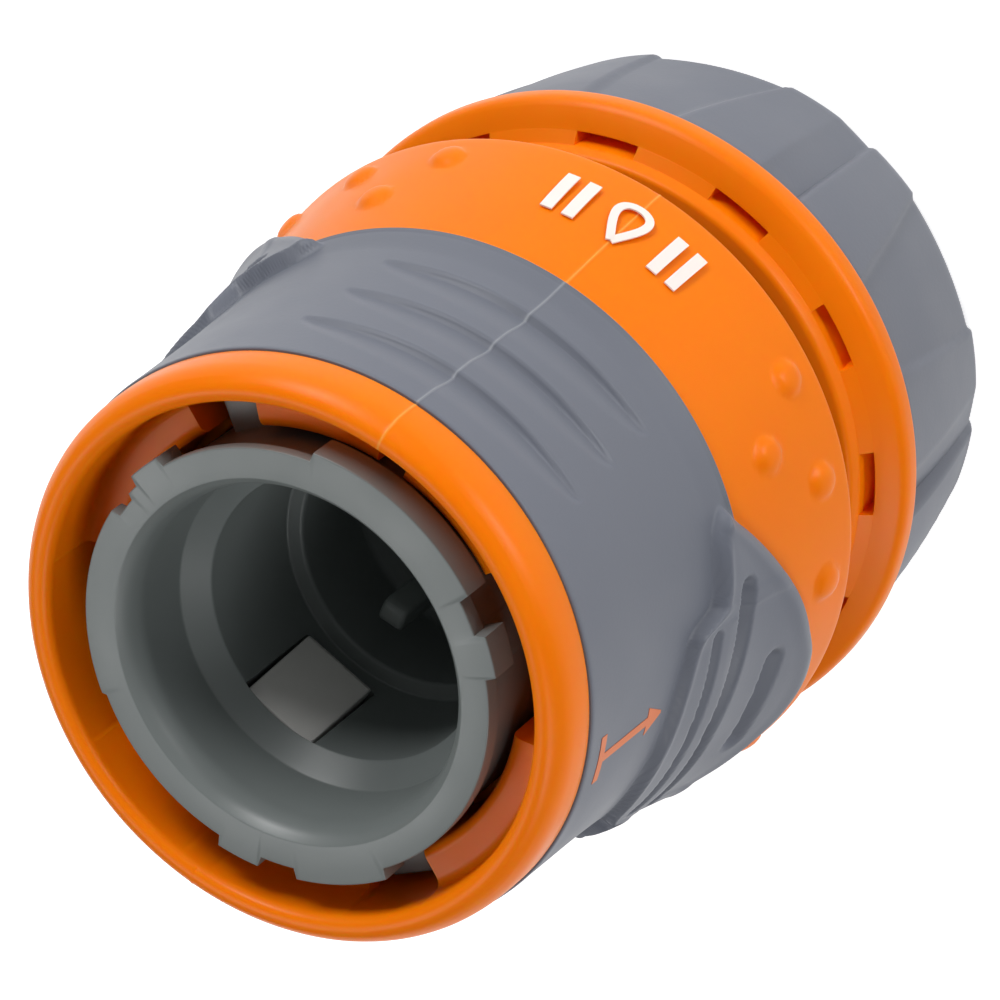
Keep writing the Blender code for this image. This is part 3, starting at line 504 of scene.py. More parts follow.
@dataclass(frozen=True)
class Finish:
    """A finish as its maker would order it."""

    name: str
    colour: str
    mottle: str
    pattern: Pattern
    roughness: float
    ior: float = 1.5
    metallic: float = 0.0
    grain_mm: float = 0.3
    relief_mm: float = 0.01
    parting: str = ""
    sheen: float = 0.0
    specular: float = 0.5
    glow_mm: float = 0.0

    def material(self) -> Material:
        """Build the node material.

        Returns:
            Principled material with mottled colour, uneven gloss and a moulded or drawn skin.
        """
        made, shader = principled(self.name, {"IOR": self.ior, "Metallic": self.metallic,
                                              "Specular IOR Level": self.specular})
        if self.sheen > 0.0:
            fill(shader, {"Sheen Weight": self.sheen, "Sheen Roughness": 0.5})
        if self.glow_mm > 0.0:
            fill(shader, {"Subsurface Weight": GLOW_SHARE, "Subsurface Radius": GLOW_REACH,
                          "Subsurface Scale": self.glow_mm * MM})
        tree = made.node_tree
        where = add_node(tree, "ShaderNodeTexCoord").outputs["Object"]
        cloud = noise(tree, where, 7.0, 3.0, 0.55)
        colour = add_node(tree, "ShaderNodeMix", {6: linear(self.colour), 7: linear(self.mottle)}, {0: cloud},
                          data_type="RGBA").outputs[2]
        if self.parting:
            colour = self._parting_colour(tree, where, colour)
        tree.links.new(colour, shader.inputs["Base Color"])
        uneven = {"From Min": 0.3, "From Max": 0.7, "To Min": self.roughness - 0.05, "To Max": self.roughness + 0.07}
        gloss = add_node(tree, "ShaderNodeMapRange", uneven, {"Value": cloud})
        tree.links.new(gloss.outputs[0], shader.inputs["Roughness"])
        tree.links.new(self._skin(tree, where), shader.inputs["Normal"])
        return made

    def _parting_colour(self, tree: NodeTree, where: NodeSocket, colour: NodeSocket) -> NodeSocket:
        """Pale line, 0.12 mm wide, painted along the parting line where the two mould halves met on the front side.
        """
        axes = add_node(tree, "ShaderNodeSeparateXYZ", links={0: where})
        away = add_node(tree, "ShaderNodeMath", links={0: axes.outputs["X"]}, operation="ABSOLUTE")
        front = add_node(tree, "ShaderNodeMath", links={0: away.outputs[0], 1: axes.outputs["Y"]},
                         operation="MAXIMUM")
        fade = {"From Min": 0.0, "From Max": 0.12 * MM, "To Min": 0.75, "To Max": 0.0}
        line = add_node(tree, "ShaderNodeMapRange", fade, {"Value": front.outputs[0]})
        return add_node(tree, "ShaderNodeMix", {7: linear(self.parting)}, {0: line.outputs[0], 6: colour},
                        data_type="RGBA").outputs[2]

    def _skin(self, tree: NodeTree, where: NodeSocket) -> NodeSocket:
        """Bump of the mould's or the die's surface."""
        source = where
        if self.pattern is Pattern.DRAWN:
            source = add_node(tree, "ShaderNodeMapping", {"Scale": (1.0, 1.0, 9.0)}, {"Vector": where}).outputs[0]
        skin = bump(tree, 0.35, self.relief_mm, {"Height": noise(tree, source, self.grain_mm, 2.0, 0.6)})
        return bump(tree, 0.25, 0.03, {"Height": noise(tree, where, 3.5, 1.0), "Normal": skin})


# Injection-moulded ABS, dyed through: a clean saturated orange with a satin gloss, that glows a little in thin walls.
ORANGE_ABS = Finish("orange_abs_moulded", "#FF7A00", "#FF8200", Pattern.SATIN, 0.36, 1.5, specular=0.15,
                    grain_mm=0.35, relief_mm=0.006, parting="#FFB050", glow_mm=1.6)
# Overmoulded TPE: a cool grey soft skin, matt with a faint bloom that lifts at the edges.
GREY_TPE = Finish("grey_tpe_overmoulded", "#5F636E", "#696D78", Pattern.GRAINED, 0.5, 1.5, grain_mm=0.28,
                  relief_mm=0.02, parting="#9A9DA3", sheen=0.08)
# Moulded polypropylene: a greener grey, satin, slightly waxy.
GREY_POLYPROPYLENE = Finish("grey_polypropylene_moulded", "#6F7574", "#777D7C", Pattern.SATIN, 0.38, 1.49,
                            grain_mm=0.4, relief_mm=0.008)
# Undyed acetal with a little grey: pale, dense and slippery, so its highlights are small and soft.
PALE_ACETAL = Finish("pale_acetal_moulded", "#E2E0DC", "#EAE8E4", Pattern.SATIN, 0.36, 1.48, grain_mm=0.4,
                     relief_mm=0.006)
# Pale acetal darkened to a greenish grey like the socket's: painted shade for the water stop's piston, which sits
# deep in the bore.
ACETAL_PAINTED_SHADE = Finish("acetal_painted_shade_moulded", "#757B79", "#7D8381", Pattern.SATIN, 0.36, 1.48, grain_mm=0.4,
                     relief_mm=0.006)
# Moulded nitrile rubber: black and dull.
BLACK_NITRILE = Finish("black_nitrile_moulded", "#161616", "#1E1E1E", Pattern.GRAINED, 0.55, 1.52, grain_mm=0.2,
                       relief_mm=0.01)
# Drawn stainless wire: bright, with fine lines along it.
STAINLESS_WIRE = Finish("stainless_wire_drawn", "#B9B7B2", "#C6C4C0", Pattern.DRAWN, 0.28, metallic=1.0,
                        grain_mm=0.15, relief_mm=0.005)
# Pad-printing ink: an even, flat layer a few hundredths of a millimetre thick.
WHITE_INK = Finish("white_ink_pad_printed", "#F4E9E2", "#F8EEE8", Pattern.SATIN, 0.5, grain_mm=0.2, relief_mm=0.004)
ORANGE_INK = Finish("orange_ink_pad_printed", "#DB7440", "#E37C46", Pattern.SATIN, 0.5, grain_mm=0.2, relief_mm=0.004)


@dataclass
class Palette:
    """The materials of this connector, built once."""

    def __post_init__(self) -> None:
        """Build every finish."""
        self.orange = ORANGE_ABS.material()
        self.soft = GREY_TPE.material()
        self.nut_orange = replace(ORANGE_ABS, name="orange_abs_nut_moulded", parting="").material()
        self.nut_soft = replace(GREY_TPE, name="grey_tpe_nut_overmoulded", parting="").material()
        self.grey = GREY_POLYPROPYLENE.material()
        self.pale = PALE_ACETAL.material()
        # A darker copy of the pale acetal, whose grey is painted shade on the piston.
        self.piston_painted_shade = ACETAL_PAINTED_SHADE.material()
        self.rubber = BLACK_NITRILE.material()
        self.steel = STAINLESS_WIRE.material()
        self.white_ink = WHITE_INK.material()
        self.orange_ink = ORANGE_INK.material()


@dataclass
class ReleaseSleeve:
    """The sliding sleeve: an orange moulding with a soft grey layer over its middle."""

    palette: Palette
    rim_z: float = 55.0
    rise: float = 0.3
    mouth_r: float = 16.0
    ring_r: float = 18.05
    ring_back_z: float = 52.0
    grip_back_z: float = 35.4
    grip_front_r: float = 18.2
    grip_rear_r: float = 19.2
    band_rear_r: float = 21.5
    band_end_z: float = 24.6
    cam_r: float = 12.9
    cam_front_r: float = 13.5
    cam_rear_z: float = 36.4
    gap_floor_z: float = 39.5
    cam_slant_r: float = 14.38
    cam_step_z: float = 49.9
    keyway_wall: float = 15.63
    keyway_z: float = 39.8
    gap_r: float = 16.05
    gap_top_z: float = 51.2
    dot_r: float = 1.12
    dot_h: float = 0.45
    pad_h: float = 1.0
    seam_h: float = 0.05

    # Start, end and top of each cam segment, in degrees off the parting line
    CAM_DEG = ((-35.0, 35.0, 52.5), (56.0, 103.0, 51.2), (145.0, 215.0, 51.2), (236.0, 283.0, 52.5))
    # Radius, then the distance of the middle from the claw's middle, then the half width
    KEYWAY = (13.6, 1.9, 0.85)
    # Radius and half width of the slanted face that drives a claw
    CLAW_ROOM = (13.0, 3.1)
    # Degrees off the pad and height, of the dots and of the pad's front and rear edges
    DOTS = ((18.0, 27.2), (36.0, 27.2), (54.0, 27.2), (45.0, 31.1))
    PAD_FRONT = ((0.0, 42.2), (10.0, 42.0), (16.0, 41.6), (20.5, 41.1), (22.5, 40.75), (26.0, 38.4), (29.0, 38.0),
                 (33.0, 37.75), (38.0, 37.3), (42.0, 36.4), (45.0, 35.5), (50.0, 33.5))
    PAD_REAR = ((0.0, 27.7), (6.4, 28.1), (12.5, 29.1), (18.6, 30.2), (24.9, 31.7), (29.9, 32.95), (35.2, 34.4),
                (38.5, 35.4), (42.0, 36.3), (46.0, 37.4), (50.0, 38.5))
    # Degrees off the pad, and the share of the pad's height that it has at its front edge
    PAD_START = ((19.0, 0.55), (26.0, 0.95), (34.0, 0.9), (41.0, 0.5))
    # Height, bend, degrees and power of the bend, reach in degrees, half width, depth, and power of the hollow
    GROOVES = ((39.5, 0.6, 22.0, 2.0, 22.3, 0.42, 0.5, 0.6), (36.95, 0.85, 22.0, 1.4, 28.8, 0.8, 0.85, 0.55),
               (32.55, 0.15, 12.0, 2.0, 11.6, 0.88, 0.75, 0.55))
    # Height and reach in degrees off the parting line
    SWOOSHES = ((47.7, 32.0), (43.5, 30.5), (39.5, 29.7))

    def base_radius(self, height: np.ndarray) -> np.ndarray:
        """Plain outer radius of the grip and of the band."""
        table = ((self.band_end_z, self.band_rear_r), (self.grip_back_z, self.grip_rear_r + 0.03), (38.0, 18.9),
                 (41.0, 18.63), (44.5, 18.42), (48.0, 18.3), (52.0, self.grip_front_r))
        return spread(table, height)

    def build(self) -> None:
        """Make the shell, the soft layer and the prints."""
        settle(self._shell(), Body.SLEEVE, "orange_abs", "sleeve")
        settle(self._soft_layer(), Body.SLEEVE, "soft_grip_tpe", "sleeve_grip")
        for print_piece in self._prints():
            settle(print_piece, Body.SLEEVE, "orange_abs")

    def _inner_corners(self, degrees: float) -> list[Corner]:
        """Inside of the sleeve at one angle: cam ring, cam segment or the gap beside it."""
        rel = (degrees - PARTING_DEG + 180.0) % 360.0 - 180.0
        turn = rel % 360.0
        top = next((z for start, end, z in self.CAM_DEG if start <= rel <= end or start <= turn <= end), None)
        off_claw = math.radians(float(off_parting(np.array(degrees - CLAW_DEG))))
        reach, middle, half = self.KEYWAY
        room_r, room = self.CLAW_ROOM
        cam, front, step = self.cam_r, self.cam_front_r, self.cam_step_z
        crown = (15.85, 0.6)
        if top is None:
            top, gap, floor = self.gap_top_z, self.gap_r, self.gap_floor_z
            rows = [(cam, floor), (14.5, floor), (gap, floor), (gap, 45.0), (gap - 0.02, 50.0)]
            crown = (gap - 0.02, 0.05)
        elif abs(reach * math.sin(off_claw) - middle) < half:
            wall = self.keyway_wall / math.cos(off_claw)
            rows = [(cam, self.keyway_z), (wall, self.keyway_z), (wall, step), (wall, top - 0.6), (wall, top - 0.3)]
            crown = (wall, 0.05)
        else:
            slanted = abs(room_r * math.sin(off_claw)) < room
            slant = (self.cam_slant_r / math.cos(off_claw), step)
            rise = [(cam, 45.1), slant] if slanted else [(cam, 45.6), (front, 46.2)]
            rows = [*rise, (front, step), (front, top - 0.3), (front + 0.4, top)]
        rows = [(16.5, self.cam_rear_z), (cam, self.cam_rear_z), *rows]
        rounds = (0.1, 0.2, 0.12, 0.1, 0.1, 0.35, 0.3)
        made = [Corner(r, z, fillet) for (r, z), fillet in zip(rows, rounds)]
        return [*made, Corner(crown[0], top, crown[1])]

    def _shell_corners(self, degrees: float) -> list[Corner]:
        """Section of the orange moulding at one angle."""
        crest = self.rim_z + self.rise
        rear, end = self.band_rear_r, self.band_end_z
        outer = section(
            (self.mouth_r + 0.3, crest - 0.02, 0.35, 2), (17.15, crest + 0.02, 1.0), (17.95, 54.3, 0.9),
            (self.ring_r, 53.0, 0.3), (self.ring_r, self.ring_back_z + 0.02, 0.12), (16.95, self.ring_back_z - 0.1),
            (17.1, 45.0), (17.35, 40.0), (17.9, self.grip_back_z), (19.2, self.grip_back_z, 0.0, 40),
            (rear, end + 0.1, 0.35), (rear - 1.1, end, 0.3), (18.3, 33.4, 0.4), (16.5, 34.8, 0.4),
        )
        return [*outer, *self._inner_corners(degrees), Corner(self.mouth_r, 54.8, 0.3)]

    def _shell(self) -> Object:
        """Orange moulding with its dots and parting line."""
        reach, middle, half = self.KEYWAY
        room_r, room = self.CLAW_ROOM
        shares = ((middle - half) / reach, (middle + half) / reach, -room / room_r, room / room_r)
        edges = [edge + PARTING_DEG for start, end, _ in self.CAM_DEG for edge in (start, end)]
        claw_deg = PARTING_DEG + CLAW_DEG
        edges += [side + claw_deg + math.degrees(math.asin(share)) for side in SIDES for share in shares]
        degrees = with_edges(even(504), edges, 0.35)
        degrees = with_edges(degrees, [PARTING_DEG + side for side in SIDES], SEAM_GAP)
        skin = Skin(np.sort(np.concatenate((degrees, SEAM_MIDDLES))), self._shell_corners)
        band = skin.rows_of(9, 9)
        heights = skin.height[:, band]
        skin.radius[:, band] += self._bulge(heights) + self._dots(skin.degrees[:, None], heights)
        skin.radius[:, skin.rows_of(0, 10)] += self._seam(skin.degrees)[:, None]
        return add_piece("sleeve_shell", skin.mesh("sleeve_shell"), self.palette.orange, 50.0)

    def _bulge(self, heights: np.ndarray) -> np.ndarray:
        """How far the band swells between its ends."""
        share = np.clip((heights - self.band_end_z) / (self.grip_back_z - self.band_end_z), 0.0, 1.0)
        return 0.12 * np.sin(share * math.pi)

    def _seam(self, degrees: np.ndarray) -> np.ndarray:
        """Fine ridge along both parting lines."""
        return self.seam_h * np.clip(1.0 - np.abs(off_parting(degrees)) / 0.2, 0.0, 1.0)

    def _dots(self, degrees: np.ndarray, heights: np.ndarray) -> np.ndarray:
        """Height of the raised dots over the band."""
        total = np.zeros(np.broadcast(degrees, heights).shape)
        radius = self.base_radius(heights)
        for offset, height in self.DOTS:
            for sign in (-1.0, 1.0):
                across = np.radians(off_pad(degrees) - sign * offset) * radius
                away = np.hypot(across, (heights - height) * 1.02) / self.dot_r
                total = np.maximum(total, self.dot_h * np.sqrt(np.clip(1.0 - away * away, 0.0, 1.0)))
        return total

    def _rear_edge(self, degrees: np.ndarray) -> np.ndarray:
        """Height of the soft layer's rear edge."""
        return np.minimum(self.grip_back_z + 0.03, spread(self.PAD_REAR, np.abs(off_pad(degrees))))

    def _soft_layer(self) -> Object:
        """Soft layer with swooshes on the sides and grooved thumb pads."""
        degrees = with_edges(even(640), [PARTING_DEG + side for side in SIDES], SEAM_GAP)
        step = np.arange(21.0, 27.6, 0.28) + 0.013
        degrees = np.sort(np.concatenate((degrees, SEAM_MIDDLES, 180.0 - step, 180.0 + step, step, 360.0 - step)))
        top = self.ring_back_z - 0.03
        end = self.grip_back_z

        def corners(angle: float) -> list[Corner]:
            rear = float(self._rear_edge(np.array(angle)))
            seat = float(self.base_radius(np.array(min(rear, end))))
            low = min(rear + 0.05, end - 0.05)
            inner = float(self.base_radius(np.array(low + 0.4))) - 0.4
            return section((18.2, top, 0.12, 104), (seat + 0.3, rear, 0.12),
                           (seat - 0.05 if rear > end - 0.5 else seat + 0.02, rear), (inner, low + 0.45),
                           (17.7, end), (17.05, 44.0), (17.0, top))

        skin = Skin(degrees, corners)
        face = skin.rows_of(0, 0)
        height = skin.height[:, face]
        angle = np.broadcast_to(skin.degrees[:, None], height.shape)
        rear = self._rear_edge(angle)
        plain = self.base_radius(height) - rolled(0.12, 0.22, top - height) - rolled(0.28, 0.3, height - rear)
        relief = self._pad_relief(angle, height) + self._swoosh_relief(angle, height)
        skin.radius[:, face] = plain + 0.22 * (1.0 - ease(0.0, 2.2, height - rear)) + relief
        skin.radius[:, face] += self._seam(skin.degrees)[:, None]
        return add_piece("sleeve_soft_layer", skin.mesh("sleeve_soft_layer"), self.palette.soft, 60.0)

    @staticmethod
    def _edge(table: Sequence[tuple[float, float]], away: np.ndarray) -> tuple[np.ndarray, np.ndarray]:
        """Height of a pad's edge, and the share by which an upright distance to it exceeds the shortest one."""
        half, arc_mm = 0.4, math.radians(1.0) * 20.0
        rise = spread(table, away + half) - spread(table, np.maximum(away - half, 0.0))
        return spread(table, away), np.hypot(1.0, rise / (2.0 * half * arc_mm))

    def _pad_relief(self, degrees: np.ndarray, heights: np.ndarray) -> np.ndarray:
        """Thumb pads: a raised shield with a stepped front edge and three grooves."""
        away = np.abs(off_pad(degrees))
        front, front_slope = self._edge(self.PAD_FRONT, away)
        rear, rear_slope = self._edge(self.PAD_REAR, away)
        to_front = (front - heights) / front_slope
        to_rear = (heights - rear) / rear_slope
        shield = ease(-0.12, 0.22, to_front) * (0.45 + 0.55 * ease(-0.1, 1.1, to_rear)) * ease(-0.2, 0.4, to_rear)
        along = np.clip(to_front / np.maximum(front - rear, 1.0), 0.0, 1.0)
        start = spread(self.PAD_START, away)
        raised = self.pad_h * np.minimum(start + (1.0 - start) * along / 0.3, 1.0) * (1.0 - 0.3 * along) * shield
        lip = 0.1 * np.exp(-((to_front - 0.35) / 0.25) ** 2) * shield
        turn_mm = math.radians(1.0) * 20.3
        grooves = np.zeros_like(heights)
        for middle, bend, bend_deg, bend_power, half_deg, half_mm, depth, power in self.GROOVES:
            centre = middle - bend * (away / bend_deg) ** bend_power
            beyond = np.maximum(away * turn_mm - (half_deg * turn_mm - half_mm), 0.0)
            bowl = np.clip(1.0 - np.hypot(heights - centre, beyond) / half_mm, 0.0, 1.0)
            grooves = np.maximum(grooves, depth * (0.5 - 0.5 * np.cos(math.pi * bowl)) ** power)
        return raised + lip - grooves * np.minimum(shield * 1.4, 1.0)

    def _swoosh_relief(self, degrees: np.ndarray, heights: np.ndarray) -> np.ndarray:
        """Shallow crescents on both sides, crisp at the rear and fading towards the mouth."""
        away = np.abs(off_parting(degrees))
        total = np.zeros_like(heights)
        for line, reach in self.SWOOSHES:
            fade = np.sqrt(np.clip(1.0 - (away / reach) ** 2, 0.0, 1.0))
            above = heights - (line - 0.35 * (1.0 - fade))
            long = 2.6 * fade + 0.15
            scoop = np.where(above > 0.0, 1.0 - ease(0.0, 1.0, above / long), 1.0 - ease(0.0, 0.3, -above))
            total = np.minimum(total, -0.42 * fade ** 0.7 * scoop)
        return total

    def _surface(self, degrees: np.ndarray, heights: np.ndarray) -> np.ndarray:
        """Outer radius where a print lies."""
        band = self._bulge(heights) + self._dots(degrees, heights)
        soft = self._pad_relief(degrees, heights) + self._swoosh_relief(degrees, heights)
        return self.base_radius(heights) + np.where(heights < self.grip_back_z, band, soft)

    def _strip(self, path: Sequence[tuple[float, float]], width: float, taper: float = 1.0) -> Mesh:
        """Printed line along a path of (degrees, height), a few hundredths of a millimetre thick.

        Args:
            path: Corners of the line.
            width: Its width at the start.
            taper: Share of the width that is left at its end.

        Returns:
            A closed mesh that follows the surface.
        """
        corners = np.array(path)
        around = math.radians(1.0) * 19.5
        flat = corners * np.array([around, 1.0])
        length = np.concatenate(([0.0], np.cumsum(np.linalg.norm(np.diff(flat, axis=0), axis=1))))
        along = np.linspace(0.0, length[-1], max(6, int(length[-1] / 0.15)))
        middle = np.stack([np.interp(along, length, flat[:, k]) for k in (0, 1)], axis=1)
        tangent = np.gradient(middle, axis=0)
        tangent /= np.maximum(np.linalg.norm(tangent, axis=1, keepdims=True), 1e-9)
        normal = np.stack((-tangent[:, 1], tangent[:, 0]), axis=1)
        half = width / 2 * (1.0 - (1.0 - taper) * along / length[-1])
        rails = [middle + normal * (half * share)[:, None] for share in (-1.0, -0.5, 0.0, 0.5, 1.0)]
        rings = []
        for lift, order in ((0.035, rails), (-0.06, rails[::-1])):
            for rail in order:
                degrees = rail[:, 0] / around
                radius = self._surface(degrees, rail[:, 1]) + lift
                rings.append(about_axis(radius, np.radians(degrees), rail[:, 1]))
        return capped_sweep("print_line", np.stack(rings, axis=1))

    def _prints(self) -> list[Object]:
        """Generic marks: a white drop between bars on the band, and an orange bracket with an arrow on the grip."""
        bars = [self._strip([(PARTING_DEG + offset, 27.2), (PARTING_DEG + offset, 30.6)], 0.75)
                for offset in (-12.5, -8.5, 8.5, 12.5)]
        drop = [(PARTING_DEG + 3.4 * math.sin(t) * (1.0 - 0.25 * math.cos(t)) * (0.5 - 0.5 * math.cos(t)) ** 0.5,
                 28.95 + 1.7 * math.cos(t)) for t in np.linspace(0.25, math.tau - 0.25, 40)]
        bars.append(self._strip(drop, 0.5))
        stem, top = 191.0, 50.3
        marks = [self._strip([(stem, top), (stem, 44.6)], 0.6), self._strip([(stem, 44.9), (stem, 43.3)], 2.0, 0.1),
                 self._strip([(stem - 5.0, top), (stem + 5.0, top)], 0.6)]
        return [add_piece("band_print", merged("band_print", bars), self.palette.white_ink),
                add_piece("grip_print", merged("grip_print", marks), self.palette.orange_ink)]


@dataclass
class SocketUnit:
    """The grey socket with its claws, the spigot behind it, the seals and the springs."""

    palette: Palette
    rim_z: float = 55.0
    lip_r: float = 13.9
    lip_h: float = 2.2
    neck_r: float = 12.8
    body_r: float = 12.6
    collar_r: float = 13.4
    groove_r: float = 11.2
    chamber_r: float = 9.4
    seat_r: float = 6.3
    seat_z: float = 29.9
    throat_r: float = 8.1
    socket_r: float = 9.1
    claw_w: float = 5.0
    cup_r: float = 17.4
    cup_top: float = 28.0
    shoulder: float = 19.4
    skirt_r: float = 15.1
    skirt_end: float = 9.1
    water_way: float = 7.2
    fit_r: float = 12.9
    teeth: int = 3

    # Start and end in degrees off the parting line, radius and depth of each stretch that is set back between lips
    RIM_EDGE = ((14.6, 59.4, 13.32, 0.8), (69.5, 73.6, 13.3, 1.2), (73.6, 80.7, 12.92, 1.2), (80.7, 134.6, 13.5, 1.2),
                (134.6, 182.2, 13.22, 1.2), (194.2, 204.5, 13.22, 1.2), (231.0, 302.8, 13.22, 1.2),
                (313.9, 323.6, 13.22, 1.2))
    CLAW = ((9.25, 47.8), (8.1, 41.7), (8.3, 41.3), (11.2, 41.3), (11.2, 44.3), (12.3, 44.3), (12.3, 45.3),
            (11.5, 45.6), (11.5, 47.8))

    def build(self) -> None:
        """Make every piece of the fixed body and both claws."""
        settle(self._socket(), Body.SOCKET, "grey_polypropylene", "socket_body")
        for body, side, node in ((Body.CLAW_FRONT, 0.0, "claw_front"), (Body.CLAW_REAR, 180.0, "claw_rear")):
            settle(self._claw(node + "_shape", PARTING_DEG + CLAW_DEG + side), body, "pale_acetal", node)
        settle(self._spigot(), Body.SOCKET, "grey_polypropylene", "hose_spigot")
        seal = seal_ring("body_seal_ring", 12.05, 23.9, self.palette.rubber)
        settle(seal, Body.SOCKET, "seal_rubber", "body_seal")
        coil = self._spring("sleeve_spring_coil", 14.65, 1.1, 28.25, 36.15, 100)
        settle(coil, Body.SOCKET, "spring_wire", "sleeve_spring")
        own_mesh(coil)
        coil = self._spring("valve_spring_coil", 7.3, 0.8, 18.85, 25.55, 70)
        settle(coil, Body.SOCKET, "spring_wire", "valve_spring")
        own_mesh(coil)

    def _socket_corners(self, degrees: float) -> list[Corner]:
        """Section of the socket, whose rim is notched."""
        rel = (degrees - PARTING_DEG) % 360.0
        lip, thick = next(((radius, depth) for start, end, radius, depth in self.RIM_EDGE if start < rel < end),
                          (self.lip_r, self.lip_h))
        top, neck, body, collar, groove = self.rim_z, self.neck_r, self.body_r, self.collar_r, self.groove_r
        return section(
            (lip, top, 0.1), (lip, top - thick, 0.12), (neck, top - thick - 0.01, 0.1), (neck, 46.3, 0.1),
            (body, 45.9, 0.1), (body, 30.0, 0.1), (collar, 29.6, 0.1), (collar, 28.25, 0.1), (body, 28.2),
            (body, 24.9), (groove, 24.9), (groove, 22.9), (body, 22.9), (body, 22.5), (13.0, 22.1, 0.1),
            (body, 21.0, 0.2), (self.chamber_r, 21.0, 0.2), (self.chamber_r, self.seat_z, 0.1),
            (self.seat_r, self.seat_z, 0.15), (self.seat_r, 31.0, 0.2), (self.throat_r, 32.8, 0.3),
            (self.throat_r, 39.3, 0.25), (self.socket_r, 39.55, 0.15), (self.socket_r, 48.1, 0.12),
            (10.5, 49.5, 0.12), (10.62, 53.4, 0.4), (10.95, 54.45, 0.4), (11.45, top, 0.05),
        )

    def _socket(self) -> Object:
        """Grey moulding with the notched rim, the stepped bore, claw windows and guide ribs."""
        edges = sorted({edge + PARTING_DEG for start, end, *_ in self.RIM_EDGE for edge in (start, end)})
        mesh = Skin(with_edges(even(300), edges, 0.7), self._socket_corners).mesh("socket_shape")
        piece = add_piece("socket_shape", mesh, self.palette.grey, 45.0)
        window, width = rectangle(7.0, 15.0, 40.95, 48.12), self.claw_w + 0.5
        carve(piece, [soft_block("window", window, width, PARTING_DEG + CLAW_DEG + side, 0.05) for side in SIDES])
        rib = rectangle(12.0, 15.5, 40.3, 50.3)
        ribs = [soft_block("guide_rib", rib, 3.0, 44.0 + PARTING_DEG + side, 0.25) for side in SIDES]
        whole = merged("socket_shape", [piece.data, *ribs])
        bpy.data.objects.remove(piece, do_unlink=True)
        return add_piece("socket_shape", whole, self.palette.grey, 45.0)

    def _claw(self, name: str, degrees: float) -> Object:
        """Claw with its cam foot and key."""
        blocks = [soft_block(name, self.CLAW, self.claw_w, degrees, 0.12),
                  soft_block(name, rectangle(10.85, 14.2, 43.1, 45.1), 1.1, degrees, 0.1, 1.9)]
        return add_piece(name, merged(name, blocks), self.palette.pale, 50.0)

    def _spigot(self) -> Object:
        """Cup, threaded skirt and barb."""
        barb: list[tuple[float, ...]] = []
        for k in range(self.teeth):
            tooth = self.shoulder - 5.2 - k * 3.2
            barb += [(9.0, tooth, 0.1), (9.6, tooth - 0.2, 0.12)]
        cup, skirt, end, way, fit = self.cup_r, self.skirt_r, self.skirt_end, self.water_way, self.fit_r
        shape = turned(
            "spigot", 240, (cup, self.cup_top, 0.4), (cup, self.shoulder, 0.3), (skirt, self.shoulder, 0.1),
            (skirt, end, 0.25), (13.7, end, 0.25), (13.7, 18.3, 0.3), (9.8, 18.3, 0.5), (9.2, 16.6, 0.3), *barb,
            (8.9, 1.6, 0.3), (8.3, 1.2, 0.2), (way, 1.2, 0.15), (way, 18.6, 0.1), (8.0, 18.6, 0.1), (8.0, 20.2, 0.1),
            (8.8, 20.7, 0.1), (fit, 20.7, 0.1), (fit, 21.2, 0.1), (13.3, 21.8, 0.1), (13.3, 22.4, 0.1),
            (fit, 22.6, 0.1), (fit, self.cup_top, 0.25),
        )
        ridge = thread_ridge("male_ridge", 14.9, 16.5, MALE_THREAD_Z, 18.1, 0.0)
        return add_piece("spigot_shape", merged("spigot_shape", [shape, ridge]), self.palette.grey, 45.0)

    def _spring(self, name: str, radius: float, wire: float, low: float, high: float, per_turn: int) -> Object:
        """Compression spring of three coils."""
        coils = 3.0
        share = np.linspace(0.0, 1.0, int(coils * per_turn) + 1)
        height = low + wire / 2 + share * (high - low - wire)
        path = about_axis(radius, share * coils * math.tau, height)
        return add_piece(name, tube(name, path, wire / 2), self.palette.steel, 60.0)


@dataclass
class WaterStop:
    """The piston that shuts the water off, with its seal."""

    palette: Palette
    head_r: float = 7.9
    head_top: float = 28.0
    head_bottom: float = 25.8
    nose_r: float = 5.9
    nose_top: float = 30.6
    end_z: float = 24.8

    PRONG = ((3.35, 29.5), (5.05, 29.5), (5.05, 39.6), (4.75, 40.0), (3.65, 40.0), (3.35, 39.6))

    def build(self) -> None:
        """Make the piston and its seal."""
        head, top, bottom = self.head_r, self.head_top, self.head_bottom
        shape = turned(
            "piston", 160, (0.001, self.nose_top), (self.nose_r, self.nose_top, 0.35), (self.nose_r, top, 0.15),
            (head, top, 0.2), (head, bottom, 0.2), (6.6, bottom, 0.1), (6.4, self.end_z, 0.2), (0.001, self.end_z),
        )
        fins = [soft_block("fin", rectangle(-9.1, 9.1, 26.0, 27.8), 1.6, turn, 0.15) for turn in (45.0, 135.0)]
        prongs = [soft_block("prong", self.PRONG, 1.7, PARTING_DEG + side, 0.28) for side in SIDES]
        whole = merged("piston_shape", [shape, *fins, *prongs])
        # The piston's darker acetal is painted shade, for its place deep in the bore.
        piston = add_piece("piston_shape", whole, self.palette.piston_painted_shade, 45.0)
        settle(piston, Body.PISTON, "pale_acetal", "valve_piston")
        seal = seal_ring("valve_seal_ring", 7.1, 28.95, self.palette.rubber)
        settle(seal, Body.PISTON, "seal_rubber", "valve_seal")


